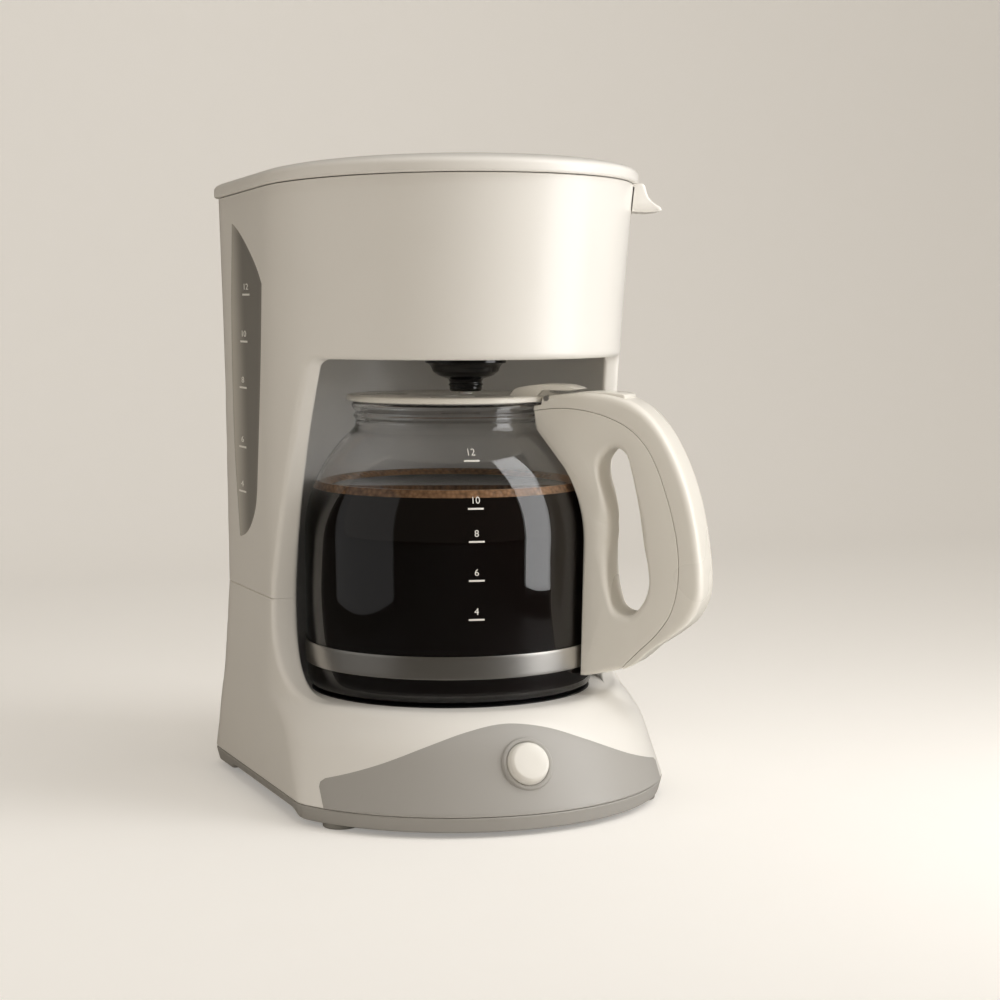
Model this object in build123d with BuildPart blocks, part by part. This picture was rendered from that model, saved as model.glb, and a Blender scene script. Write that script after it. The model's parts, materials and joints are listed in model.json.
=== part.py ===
from build123d import *
import os
from collections import namedtuple
from math import atan2, cos, degrees, radians, sin, sqrt

# A drip coffee maker with a glass carafe. Sizes are in millimetres, the table is at height 0,
# the front faces -Y and the water window is on the -X side.

# The carafe axis stands a little left and forward, so that the whole part is centred on the origin.
axis_x = -5.5
axis_y = -3.2

# Walls and clearances.
wall = 2.5
fit_gap = 0.15
pin_gap = 0.05
slide_gap = 0.3

# Heights of the body.
pan_bottom = 2.5
pan_top = 10.0
pan_floor = 8.0
shoulder_level = 45.0
deck_level = 54.0
deck_thickness = 4.5
housing_seam = 100.0
head_bottom = 220.0
top_level = 309.0
seam_drop_front = 2.5
seam_drop_rear = 9.0
lid_seam_front = top_level - seam_drop_front
lid_seam_rear = top_level - seam_drop_rear

# Plan sections of the body: half width, front reach, radius of the front arc, radius of the arcs
# beside it, rear reach and radius of the rear corners.
Section = namedtuple("Section", "half front front_radius side_radius rear rear_radius")
rear_reach = 110.0
base_section = Section(96.0, 111.0, 105.0, 18.0, rear_reach, 12.0)
shoulder_section = Section(92.8, 94.0, 96.0, 60.0, rear_reach - 1.0, 14.0)
deck_section = Section(92.0, 84.0, 82.0, 112.0, rear_reach - 2.0, 15.0)
seam_section = Section(90.0, 83.0, 81.0, 112.0, rear_reach - 4.0, 17.0)
head_section = Section(91.3, 84.0, 82.0, 112.0, rear_reach - 3.0, 18.0)
top_section = Section(94.2, 94.3, 90.0, 112.0, rear_reach - 2.0, 20.0)
body_reach = 2 * base_section.front

# The bay that the carafe stands in.
bay_radius = 78.0
wing_top_y = -25.0
wing_foot_y = 29.0
wing_foot_radius = 44.0
wing_top_radius = 7.0

# Base pan and feet.
pan_draft = 2.0
pan_rim = 3.0
arch_height = 5.5
arch_front_y = -42.0
arch_rear_y = 74.0
foot_radius = 8.5
foot_recess = 1.5
foot_x = 78.0
foot_front_y = -58.0
foot_rear_inset = 24.0

# Grey front panel: half width and the run of its wave-shaped top edge.
panel_half = 88.0
wave_left_z = 22.5
wave_rise = (-45.0, 40.3)
wave_crest = (-6.0, 49.3)
wave_fall = (35.0, 39.0)
wave_right_z = 19.5
panel_back_y = -54.0

# Push button, its bezel and its switch.
button_z = 31.8
button_radius = 10.3
button_proud = 5.5
button_skirt = 6.0
button_wall = 1.5
button_edge = 1.2
bezel_rim = 1.2
bezel_proud = 1.2
bezel_seat = 0.9
bezel_sleeve = 7.0
bezel_wall = 1.1
bezel_edge = 0.5
switch_side_wall = 2.4
switch_end_wall = 1.4
switch_depth = 15.0
switch_bore_depth = 8.0
spring_wire = 0.5
button_spring_radius = 6.0
button_spring_turns = 6

# Water window in the left wall, as (y, z) points on the side.
window_top = (66.0, 287.0)
window_top_bow = (40.0, 274.5)
window_front_top = (17.0, 256.0)
window_front_bottom = (35.0, 152.0)
window_bottom_bow = (46.0, 135.0)
window_bottom = (68.0, 126.0)
window_rear_bow = (77.0, 205.0)

# Water tank, top tray and filter basket.
tank_wall = 2.0
tank_bottom = 108.0
tank_front_y = 34.0
tank_right_x = 44.0
tank_side_gap = 1.2
tray_drop = 8.0
tray_top = lid_seam_rear - tray_drop
tray_thickness = 2.5
basket_y = -22.0
basket_top_radius = 58.0
basket_foot_radius = 30.0
basket_bottom = 228.0
basket_wall = 1.8
basket_flange = 4.0
basket_flange_thickness = 2.0

# Spray arm over the basket.
arm_rise = 2.6
arm_bottom = tray_top + arm_rise
arm_height = 4.6
arm_width = 11.0
spray_radius = 18.0
spray_hole_radius = 1.4
spray_holes = 8
spray_hole_circle = 11.0
riser_grip = 0.9
riser_top = arm_bottom + riser_grip

# Water path under and behind the bay.
tube_radius = 5.0
tube_bore = 3.1
tube_x = 66.0
tube_y = 66.0
tube_bend = 10.0
hose_level = 44.2
valve_radius = 7.0
valve_top = 105.0
valve_bottom = 82.0
valve_chamber = 4.6
valve_chamber_top = 96.0
valve_chamber_bottom = 87.0
valve_nipple = 10.0
ball_radius = 3.4
spigot_radius = 4.0
spigot_length = 8.0
water_bore = 2.4

# Warming plate and heater.
plate_radius = 70.0
plate_thickness = 1.2
plate_proud = 0.3
plate_edge = 0.5
plate_side_gap = 0.4
deck_ring = 6.0
plate_seat = 6.0
deck_hole = plate_radius - plate_seat
seal_thickness = 1.0
stud_radius = 3.0
stud_length = 19.0
heater_radius = 6.0
heater_side_inset = 22.0
heater_end_inset = 26.0
heater_leg_x = deck_hole - heater_side_inset
heater_leg_y = deck_hole - heater_end_inset
heater_bend_y = -8.0
heater_stub = 9.0
clamp_overhang = 10.0
clamp_width = 14.0
clamp_thickness = 1.5
nut_radius = 5.5
nut_height = 4.0
thermostat_radius = 7.0
thermostat_height = 6.0
thermostat_clear = 8.0
fuse_radius = 2.4
fuse_length = 12.0
fuse_clear = 3.0
fuse_pitch = 15.0

# Drip nozzle, plunger, spring and cap.
nozzle_flange = 20.0
nozzle_flange_edge = 3.2
nozzle_waist_z = 209.5
nozzle_radius = 8.0
nozzle_bottom = 203.2
nozzle_neck = 9.0
nozzle_bowl_bow = 1.2
drain_hole = 1.0
drain_holes = 4
guide_length = 3.0
nozzle_chamber = 6.4
valve_seat_z = 217.0
seat_thickness = 2.0
seat_hole = 4.4
plunger_radius = 3.4
plunger_stem = 2.2
plunger_disc = 5.8
plunger_disc_thickness = 1.5
plunger_drop = 2.5
drip_seal_thickness = 1.0
drip_spring_radius = 3.8
drip_spring_turns = 3
cap_thickness = 1.6
cap_hole = 1.5
cap_hole_circle = 5.4

# Carafe glass.
carafe_clear = 0.3
glass_wall = 2.0
glass_floor = 2.6
glass_foot_radius = 72.0
glass_foot_corner = 7.0
glass_belly = (73.2, 130.0)
glass_shoulder = (50.0, 182.5)
neck_radius = 47.5
neck_bottom = 186.5
glass_top = 197.6
lip_radius = 49.2
lip_height = 2.4
bead_z = 190.5
bead_radius = 0.9

# Carafe band, handle and lid.
band_bottom = 68.0
band_top = 79.0
band_gap = 0.2
band_thickness = 0.8
handle_angle = -43.0
handle_width = 24.0
handle_gap = 1.2
hinge_block_gap = 0.4
handle_screw_z = 73.5
screw_shank = 1.8
screw_head = 3.6
screw_head_height = 2.4
boss_length = 5.0
screw_grip = 9.0
boss_radius = 3.2
carafe_lid_radius = 52.0
carafe_lid_bottom = 198.2
carafe_lid_top = 201.0
carafe_lid_skirt = 44.6
carafe_lid_skirt_depth = 9.0
carafe_lid_wall = 1.8
drip_dish = 12.0
drip_dish_depth = 1.2
drip_boss = 4.4
drip_hole = 1.6
drip_holes = 6
drip_hole_circle = 8.2
lid_pin_reach = 55.6
lid_pin_z = 200.0
lid_pin_radius = 1.4
lid_knuckle = 2.9
lid_knuckle_width = 10.0
lever_width = 18.0
lever_web_top = 206.0
lever_web_front = (36.0, 200.5)
lever_top = ((35.0, 200.6), (40.0, 205.0), (50.0, 206.7), (62.0, 206.6), (70.0, 204.4))
lever_under = ((67.0, 203.8), (52.0, 203.8), (49.0, 200.6))
# Side view of the handle, as reach from the carafe axis and height: its outside, the run back along
# the glass, its finger hole and the seam of its cover.
handle_outside = (
    (57.0, 201.5),
    (78.0, 203.0),
    (97.0, 200.0),
    (122.6, 170.0),
    (134.0, 125.0),
    (130.5, 95.0),
    (109.0, 78.0),
    (76.0, 64.0),
)
handle_inside = ((60.0, 64.0), (60.0, 150.0), (46.0, 186.0), (46.0, 197.0), (52.8, 197.0), (52.8, 200.5))
finger_hole = (
    (89.0, 176.5),
    (82.5, 168.0),
    (86.5, 148.0),
    (87.5, 108.0),
    (95.0, 94.0),
    (106.0, 103.0),
    (106.0, 126.0),
    (99.5, 163.0),
)
cover_seam = (
    (52.0, 194.4),
    (84.0, 192.4),
    (103.0, 182.0),
    (115.0, 160.0),
    (123.4, 120.0),
    (118.0, 94.0),
    (106.0, 80.0),
    (88.0, 60.0),
)

# Main lid and its hinge.
lid_overhang = 2.0
lid_rim_height = 5.5
lid_gap = 0.3
tab_angle = -21.0
tab_width = 28.0
tab_gap = 0.5
tab_root_reach = 93.6
# Side view of the tab: reach from its root and height from the front of the lid seam.
tab_points = ((0.0, 0.5), (4.6, 0.5), (5.2, -7.0), (13.4, -12.1), (13.4, -14.9), (0.0, -16.7))
hinge_setback = 5.8
hinge_radius = 3.6
hinge_y = top_section.rear + hinge_setback
hinge_z = lid_seam_rear + hinge_radius
hinge_pin_radius = 1.6
hinge_knuckle_half = 24.0
hinge_side_gap = 0.5
hinge_ear_width = 8.0
hinge_ear_drop = 8.0
lid_web_thickness = 4.2
liner_bottom = 0.9
liner_thickness = 1.8
liner_scale = 0.956
# Dome of the lid, outside and inside: height over the seam and size as a share of the rim.
dome_outside = (
    (5.5, 1.0),
    (7.0, 0.985),
    (8.5, 0.93),
    (9.6, 0.87),
    (10.5, 0.8),
    (11.5, 0.69),
    (12.3, 0.55),
    (12.9, 0.37),
    (13.2, 0.2),
)
dome_inside = (
    (0.0, 0.965),
    (3.6, 0.9585),
    (5.4, 0.93),
    (6.8, 0.87),
    (7.8, 0.8),
    (8.9, 0.69),
    (9.8, 0.55),
    (10.5, 0.37),
    (10.8, 0.18),
)

# Fasteners and cord gland.
base_boss_radius = 5.0
base_boss_front = (62.0, -48.0)
base_boss_rear_x = 70.0
base_boss_rear_inset = 6.4
base_boss_rear_top = 40.0
base_screw_length = 14.0
screw_seat_z = 5.5
housing_boss_radius = 5.0
housing_boss_x = 30.0
housing_boss_stand = 3.0
housing_boss_low = 86.0
housing_boss_high = 107.0
gland_x = 40.0
gland_z = 28.0
gland_radius = 6.0
gland_flange = 8.5
gland_flange_thickness = 2.0
gland_bore = 3.6
gland_length = 9.0

os.makedirs("parts", exist_ok=True)


def spot(x, y, z):
    """A point given from the foot of the carafe axis."""
    return (axis_x + x, axis_y + y, z)


def level(height):
    """Horizontal work plane at a height, centred on the carafe axis."""
    return Plane(origin=spot(0, 0, height))


def upright(angle, y=0):
    """Vertical work plane through the carafe axis: x runs outwards at the angle, y runs up."""
    out = (cos(radians(angle)), sin(radians(angle)), 0)
    return Plane(origin=spot(0, y, 0), x_dir=out, z_dir=(out[1], -out[0], 0))


def side(x):
    """Vertical work plane across the body: x runs to the rear, y runs up."""
    return Plane(origin=spot(x, 0, 0), x_dir=(0, 1, 0), z_dir=(1, 0, 0))


def upright_axis(y=0):
    """Vertical axis, the carafe's or one in front of it or behind it."""
    return Axis(spot(0, y, 0), (0, 0, 1))


def scaled(section, factor):
    """A section drawn smaller or larger about the carafe axis."""
    return Section(*(value * factor for value in section))


def outline(plane, section, inset=0):
    """Plan outline of the body: flat back, straight sides and a front of three tangent arcs."""
    half = section.half - inset
    front = section.front - inset
    front_radius = section.front_radius - inset
    side_radius = section.side_radius - inset
    rear = section.rear - inset
    corner = section.rear_radius - inset
    front_centre = front_radius - front
    run = sqrt((front_radius - side_radius) ** 2 - (half - side_radius) ** 2)
    side_start = front_centre + (run if side_radius > front_radius else -run)
    share = front_radius / (front_radius - side_radius)
    join_x = share * (half - side_radius)
    join_y = front_centre + share * (side_start - front_centre)
    with BuildSketch(plane) as plan:
        with BuildLine():
            Line((corner - half, rear), (half - corner, rear))
            ThreePointArc((-join_x, join_y), (0, -front), (join_x, join_y))
            for hand in (-1, 1):
                TangentArc((hand * half, rear - corner), (hand * (half - corner), rear), tangent=(0, 1))
                Line((hand * half, rear - corner), (hand * half, side_start))
                TangentArc((hand * half, side_start), (hand * join_x, join_y), tangent=(0, -1))
        make_face()
    return plan.sketch


def block(stations, inset=0):
    """Solid through plan outlines at a run of heights, straight from each to the next."""
    with BuildPart() as body:
        for (low, low_section), (high, high_section) in zip(stations, stations[1:]):
            lower = outline(level(low), low_section, inset)
            upper = outline(level(high), high_section, inset)
            loft([lower, upper], ruled=True)
    return body.part


def dome(steps):
    """Outlines of the lid's dome, from its rim to its crown."""
    return [outline(seam_plane.offset(height), scaled(lid_section, size)) for height, size in steps]


def bay(growth=0):
    """Space that the carafe stands in, grown by an even margin."""
    floor = deck_level - growth
    ceiling = head_bottom + growth
    lean = (wing_top_y - wing_foot_y) / (head_bottom - deck_level)
    shift = growth * sqrt(1 + lean**2)
    foot_y = wing_foot_y - lean * growth + shift
    top_y = wing_top_y + lean * growth + shift
    with BuildPart() as space:
        with BuildSketch(level(floor)):
            Circle(bay_radius + growth)
        extrude(amount=ceiling - floor)
        with BuildSketch(side(0)):
            with BuildLine():
                FilletPolyline(
                    (-body_reach, floor),
                    (foot_y, floor),
                    (top_y, ceiling),
                    (-body_reach, ceiling),
                    radius=[wing_foot_radius + growth, wing_top_radius + growth],
                )
                Line((-body_reach, ceiling), (-body_reach, floor))
            make_face()
        extrude(amount=body_reach, both=True)
    return space.part


bay_space = bay()
bay_wall_space = bay(wall)


lower_stations = [
    (pan_top, base_section),
    (shoulder_level, shoulder_section),
    (deck_level, deck_section),
    (housing_seam, seam_section),
]
upper_stations = [
    (housing_seam, seam_section),
    (head_bottom, head_section),
    (top_level, top_section),
]
lower_block = block(lower_stations)
lower_core = block(lower_stations, wall)
upper_block = block(upper_stations)
upper_core = block(upper_stations, wall)

# The lid seam slopes down to the rear.
seam_tilt = atan2(lid_seam_front - lid_seam_rear, top_section.front + top_section.rear)
seam_rise = (lid_seam_front - lid_seam_rear) / (top_section.front + top_section.rear)
seam_middle = lid_seam_rear + seam_rise * top_section.rear
seam_plane = Plane(
    origin=spot(0, 0, seam_middle), x_dir=(1, 0, 0), z_dir=(0, sin(seam_tilt), cos(seam_tilt))
)

# Places that several pieces share.
handle_plane = upright(handle_angle)
hinge_ear_middle = hinge_knuckle_half + hinge_side_gap + hinge_ear_width / 2
base_boss_rear = (base_boss_rear_x, rear_reach - base_boss_rear_inset)
base_boss_spots = [(hand * x, y) for hand in (-1, 1) for x, y in (base_boss_front, base_boss_rear)]
housing_boss_y = seam_section.rear - wall - housing_boss_stand
housing_boss_spots = [(hand * housing_boss_x, housing_boss_y) for hand in (-1, 1)]
foot_spots = [(hand * foot_x, y) for hand in (-1, 1) for y in (foot_front_y, rear_reach - foot_rear_inset)]
seal_bottom = deck_level + plate_proud - plate_thickness - seal_thickness
plate_bottom = seal_bottom + seal_thickness
plate_top = plate_bottom + plate_thickness
carafe_bottom = plate_top + carafe_clear
heater_level = plate_bottom - heater_radius
heater_bottom = heater_level - heater_radius
front_slope = (base_section.front - shoulder_section.front) / (shoulder_level - pan_top)
button_y = -(shoulder_section.front + front_slope * (shoulder_level - button_z))
button_tilt = atan2(front_slope, 1)
button_plane = Plane(
    origin=spot(0, button_y, button_z),
    x_dir=(1, 0, 0),
    z_dir=(0, -cos(button_tilt), sin(button_tilt)),
)
button_axis = Axis(button_plane.origin, button_plane.z_dir)
tank_top = tray_top - tray_thickness
bezel_sleeve_radius = button_radius + slide_gap + bezel_wall
bezel_radius = bezel_sleeve_radius + bezel_rim
ear_root_y = top_section.rear - wall / 2
ball_z = valve_chamber_bottom + sqrt(ball_radius**2 - water_bore**2) + pin_gap
nozzle_edge_z = head_bottom - nozzle_flange_edge
nozzle_top = basket_bottom + basket_wall
plunger_tip = carafe_lid_top + 3 * slide_gap
drip_seal_bottom = valve_seat_z + plunger_drop + 2 * pin_gap
plunger_disc_top = drip_seal_bottom + drip_seal_thickness + plunger_disc_thickness
band_boss_reach = glass_foot_radius + band_gap + band_thickness + boss_length
screw_head_reach = band_boss_reach + screw_grip


def panel_region(growth=0):
    """Front view of the grey panel, as a prism through the front of the base."""
    half = panel_half + growth
    left = (-half, wave_left_z + growth)
    right = (half, wave_right_z + growth)
    waves = [(x, z + growth) for x, z in (wave_rise, wave_crest, wave_fall)]
    with BuildPart() as region:
        with BuildSketch(upright(0, panel_back_y)):
            with BuildLine():
                Spline(left, *waves, right, tangents=((1, 0.1), (1, -0.1)))
                Polyline(left, (-half, pan_top - growth), (half, pan_top - growth), right)
            make_face()
        extrude(amount=body_reach)
    return region.part


def window_region(growth=0):
    """Side view of the water window, as a prism through the left wall."""
    with BuildPart() as region:
        with BuildSketch(side(-body_reach)):
            with BuildLine():
                ThreePointArc(window_top, window_top_bow, window_front_top)
                Line(window_front_top, window_front_bottom)
                ThreePointArc(window_front_bottom, window_bottom_bow, window_bottom)
                ThreePointArc(window_bottom, window_rear_bow, window_top)
            make_face()
            if growth:
                offset(amount=growth)
        extrude(amount=body_reach - seam_section.half + 2 * wall)
    return region.part


def tank_plan(inset=0):
    """Plan of the water tank: the rear and left of the column, round the bay."""
    margin = wall + tank_side_gap + inset
    with BuildSketch() as plan:
        add(outline(Plane.XY, seam_section, margin))
        Circle(bay_radius + margin, mode=Mode.SUBTRACT)
        with Locations((0, tank_front_y + inset)):
            Rectangle(body_reach, body_reach, align=(Align.CENTER, Align.MAX), mode=Mode.SUBTRACT)
        with Locations((tank_right_x - inset, 0)):
            Rectangle(body_reach, body_reach, align=(Align.MIN, Align.CENTER), mode=Mode.SUBTRACT)
    return plan.sketch


def carafe_body(inset, bottom, top):
    """Solid of the carafe's glass outline, drawn in by an inset."""
    foot = (glass_foot_radius - inset, bottom)
    belly = (glass_belly[0] - inset, glass_belly[1])
    shoulder = (glass_shoulder[0] - inset, glass_shoulder[1])
    with BuildPart() as body:
        with BuildSketch(upright(0)):
            with BuildLine():
                FilletPolyline((0, bottom), foot, belly, radius=glass_foot_corner - inset)
                TangentArc(belly, shoulder, tangent=(belly[0] - foot[0], belly[1] - foot[1]))
                Polyline(
                    shoulder,
                    (neck_radius - inset, neck_bottom),
                    (neck_radius - inset, top),
                    (0, top),
                    (0, bottom),
                )
            make_face()
        revolve(axis=upright_axis())
    return body.part


def handle_profile():
    """Side view of the whole handle: a tall loop beside the glass with a finger hole."""
    with BuildSketch() as profile:
        with BuildLine():
            Spline(*handle_outside, tangents=((1, 0.15), (-1, -0.2)))
            Polyline(handle_outside[-1], *handle_inside, handle_outside[0])
        make_face()
        with BuildLine():
            Spline(*finger_hole, periodic=True)
        make_face(mode=Mode.SUBTRACT)
    return profile.sketch


def cover_region():
    """Side view of everything outside the seam between the handle and its cover."""
    with BuildSketch() as region:
        with BuildLine():
            Spline(*cover_seam)
            Polyline(
                cover_seam[-1],
                (body_reach, cover_seam[-1][1]),
                (body_reach, top_level),
                (cover_seam[0][0], top_level),
                cover_seam[0],
            )
        make_face()
    return region.sketch


def radial(angle, height, start):
    """Work plane square to a spoke of the carafe, at a reach from its axis."""
    out = (cos(radians(angle)), sin(radians(angle)), 0)
    return Plane(origin=spot(start * out[0], start * out[1], height), z_dir=out)


def coil(plane, radius, length, turns):
    """Round-wire spring standing on a plane."""
    with BuildPart() as wire:
        with BuildLine() as turn_line:
            Helix(length / turns, length, radius, center=plane.origin, direction=plane.z_dir)
        with BuildSketch(Plane(origin=turn_line.line @ 0, z_dir=turn_line.line % 0)):
            Circle(spring_wire)
        sweep(is_frenet=True)
    return wire.part


def save(piece, name):
    """Label a finished piece and write its file."""
    piece.part.label = name
    export_step(piece.part, f"parts/{name}.step")


# Hollow of the lower housing: under the deck and up the foot of the column.
with BuildPart() as lower_space:
    add(lower_core)
    add(bay_wall_space, mode=Mode.SUBTRACT)

# Hollow of the upper housing: the column round the bay and the head above it.
with BuildPart() as upper_space:
    add(upper_core)
    add(bay_wall_space, mode=Mode.SUBTRACT)

# Lower housing: base with a sloped front, the deck and the foot of the column.
with BuildPart() as lower_housing:
    add(lower_block)
    add(bay_space, mode=Mode.SUBTRACT)
    add(lower_space.part, mode=Mode.SUBTRACT)
    add(panel_region(fit_gap), mode=Mode.SUBTRACT)
    with BuildSketch(level(deck_level - deck_thickness)):
        Circle(plate_radius + deck_ring)
    extrude(amount=deck_thickness)
    with BuildSketch(level(pan_floor)):
        with Locations(*base_boss_spots[::2]):
            Circle(base_boss_radius)
    extrude(amount=deck_level - wall - pan_floor)
    with BuildSketch(level(pan_floor)):
        with Locations(*base_boss_spots[1::2]):
            Circle(base_boss_radius)
    extrude(amount=base_boss_rear_top - pan_floor)
    with BuildSketch(level(housing_boss_low)):
        with Locations(*housing_boss_spots):
            Circle(housing_boss_radius)
    extrude(amount=housing_seam - housing_boss_low)
    with BuildSketch(level(seal_bottom)):
        Circle(plate_radius + plate_side_gap)
    extrude(amount=deck_level, mode=Mode.SUBTRACT)
    with BuildSketch(level(pan_floor)):
        Circle(deck_hole)
    extrude(amount=deck_level, mode=Mode.SUBTRACT)
    with BuildSketch(level(pan_floor)):
        with Locations(*base_boss_spots):
            Circle(screw_shank + pin_gap)
    extrude(amount=base_screw_length, mode=Mode.SUBTRACT)
    with BuildSketch(level(housing_boss_low)):
        with Locations(*housing_boss_spots):
            Circle(screw_shank + pin_gap)
    extrude(amount=housing_seam, mode=Mode.SUBTRACT)
    with BuildSketch(Plane(origin=spot(gland_x, base_section.rear, gland_z), z_dir=(0, -1, 0))):
        Circle(gland_radius + pin_gap)
    extrude(amount=2 * gland_length, both=True, mode=Mode.SUBTRACT)
save(lower_housing, "lower_housing")

# Upper housing: head and column in one moulding, open at the top, with ears for the lid hinge.
with BuildPart() as upper_housing:
    add(upper_block)
    add(bay_space, mode=Mode.SUBTRACT)
    add(upper_space.part, mode=Mode.SUBTRACT)
    split(bisect_by=seam_plane, keep=Keep.BOTTOM)
    add(window_region(fit_gap), mode=Mode.SUBTRACT)
    with BuildSketch(level(head_bottom)):
        with Locations((0, basket_y)):
            Circle(nozzle_neck + fit_gap)
    extrude(amount=2 * wall, mode=Mode.SUBTRACT)
    with BuildSketch(level(housing_seam)):
        with Locations(*housing_boss_spots):
            Circle(housing_boss_radius)
            Circle(screw_shank + pin_gap, mode=Mode.SUBTRACT)
    extrude(amount=housing_boss_high - housing_seam)
    for hand in (-1, 1):
        with BuildSketch(side(hand * hinge_ear_middle - hinge_ear_width / 2)):
            with BuildLine():
                Polyline(
                    (ear_root_y, hinge_z),
                    (ear_root_y, hinge_z - 2 * hinge_ear_drop),
                    (hinge_y + hinge_radius, hinge_z),
                    close=True,
                )
            make_face()
            with Locations((hinge_y, hinge_z)):
                Circle(hinge_radius)
                Circle(hinge_pin_radius + pin_gap, mode=Mode.SUBTRACT)
        extrude(amount=hinge_ear_width)
save(upper_housing, "upper_housing")

# Base pan: a shallow grey tray, arched up along its sides between the foot blocks.
with BuildPart() as base_pan:
    pan_foot = outline(level(pan_bottom), base_section, pan_draft)
    loft([pan_foot, outline(level(pan_top), base_section)], ruled=True)
    with BuildSketch(level(pan_floor)):
        add(outline(Plane.XY, base_section, pan_rim))
        with Locations(*base_boss_spots):
            Circle(base_boss_radius + fit_gap)
    extrude(amount=pan_top, mode=Mode.SUBTRACT)
    with BuildSketch(side(0)):
        with BuildLine():
            Polyline(
                (arch_front_y - arch_height, 0),
                (arch_front_y, arch_height),
                (arch_rear_y, arch_height),
                (arch_rear_y + arch_height, 0),
                close=True,
            )
        make_face()
    extrude(amount=body_reach, both=True, mode=Mode.SUBTRACT)
    with BuildSketch(level(pan_bottom)):
        with Locations(*foot_spots):
            Circle(foot_radius + pin_gap)
    extrude(amount=foot_recess, mode=Mode.SUBTRACT)
    with BuildSketch(level(pan_bottom)):
        with Locations(*base_boss_spots):
            Circle(screw_head + fit_gap)
    extrude(amount=screw_seat_z - pan_bottom, mode=Mode.SUBTRACT)
    with BuildSketch(level(pan_bottom)):
        with Locations(*base_boss_spots):
            Circle(screw_shank + pin_gap)
    extrude(amount=pan_top, mode=Mode.SUBTRACT)
save(base_pan, "base_pan")

# Four rubber feet, each in a recess of the pan.
with BuildPart() as feet:
    with BuildSketch(level(0)):
        with Locations(*foot_spots):
            Circle(foot_radius)
    extrude(amount=pan_bottom + foot_recess)
save(feet, "feet")

# Screws from under the pan into the bosses of the lower housing.
with BuildPart() as base_screws:
    with BuildSketch(level(screw_seat_z - screw_head_height)):
        with Locations(*base_boss_spots):
            Circle(screw_head)
    extrude(amount=screw_head_height)
    with BuildSketch(level(screw_seat_z)):
        with Locations(*base_boss_spots):
            Circle(screw_shank)
    extrude(amount=base_screw_length)
save(base_screws, "base_screws")

# Screws that hold the two housings together, inside the rear of the column.
with BuildPart() as housing_screws:
    with BuildSketch(level(housing_boss_low - screw_head_height)):
        with Locations(*housing_boss_spots):
            Circle(screw_head)
    extrude(amount=screw_head_height)
    with BuildSketch(level(housing_boss_low)):
        with Locations(*housing_boss_spots):
            Circle(screw_shank)
    extrude(amount=housing_boss_high - housing_boss_low - screw_head_height)
save(housing_screws, "housing_screws")

# Grey front panel, a curved plate with a seat and a hole for the bezel.
with BuildPart() as control_panel:
    add(lower_block)
    add(lower_core, mode=Mode.SUBTRACT)
    add(panel_region(), mode=Mode.INTERSECT)
    with BuildSketch(button_plane.offset(-bezel_seat)):
        Circle(bezel_radius + fit_gap)
    extrude(amount=bezel_radius, mode=Mode.SUBTRACT)
    with BuildSketch(button_plane):
        Circle(bezel_sleeve_radius + fit_gap)
    extrude(amount=bezel_radius, both=True, mode=Mode.SUBTRACT)
save(control_panel, "control_panel")

# Bezel ring round the button, with a sleeve through the panel.
with BuildPart() as button_bezel:
    with BuildSketch(button_plane.offset(-bezel_seat)):
        Circle(bezel_radius)
    extrude(amount=bezel_seat + bezel_proud)
    chamfer(button_bezel.edges().filter_by(GeomType.CIRCLE).sort_by(button_axis)[-1], bezel_edge)
    with BuildSketch(button_plane.offset(-bezel_seat)):
        Circle(bezel_sleeve_radius)
    extrude(amount=bezel_seat - bezel_sleeve)
    with BuildSketch(button_plane):
        Circle(button_radius + slide_gap)
    extrude(amount=2 * bezel_sleeve, both=True, mode=Mode.SUBTRACT)
save(button_bezel, "button_bezel")

# Push button: a round cap, hollow behind for its spring.
with BuildPart() as power_button:
    with BuildSketch(button_plane.offset(-button_skirt)):
        Circle(button_radius)
    extrude(amount=button_skirt + button_proud)
    fillet(power_button.edges().filter_by(GeomType.CIRCLE).sort_by(button_axis)[-1], button_edge)
    with BuildSketch(button_plane.offset(-button_skirt)):
        Circle(button_radius - button_wall)
    extrude(amount=button_skirt + button_proud - 2 * button_wall, mode=Mode.SUBTRACT)
save(power_button, "power_button")

# Switch block behind the bezel, with a bore that the button's skirt runs into.
with BuildPart() as switch_module:
    with BuildSketch(button_plane.offset(-bezel_sleeve)):
        switch_width = 2 * (button_radius + slide_gap + switch_side_wall)
        switch_height = 2 * (button_radius + slide_gap + switch_end_wall)
        RectangleRounded(switch_width, switch_height, bezel_wall)
    extrude(amount=-switch_depth)
    with BuildSketch(button_plane.offset(-bezel_sleeve)):
        Circle(button_radius + slide_gap)
    extrude(amount=-switch_bore_depth, mode=Mode.SUBTRACT)
save(switch_module, "switch_module")

# Return spring of the button.
button_spring_seat = button_plane.offset(spring_wire - bezel_sleeve - switch_bore_depth)
button_spring_length = bezel_sleeve + switch_bore_depth + button_proud - 2 * button_wall - 2 * spring_wire
button_coil = coil(button_spring_seat, button_spring_radius, button_spring_length, button_spring_turns)
with BuildPart() as button_spring:
    add(button_coil)
save(button_spring, "button_spring")

# Water window: a leaf-shaped plate that carries on the line of the wall.
with BuildPart() as water_window:
    add(upper_block)
    add(upper_core, mode=Mode.SUBTRACT)
    add(window_region(), mode=Mode.INTERSECT)
save(water_window, "water_window")

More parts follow.
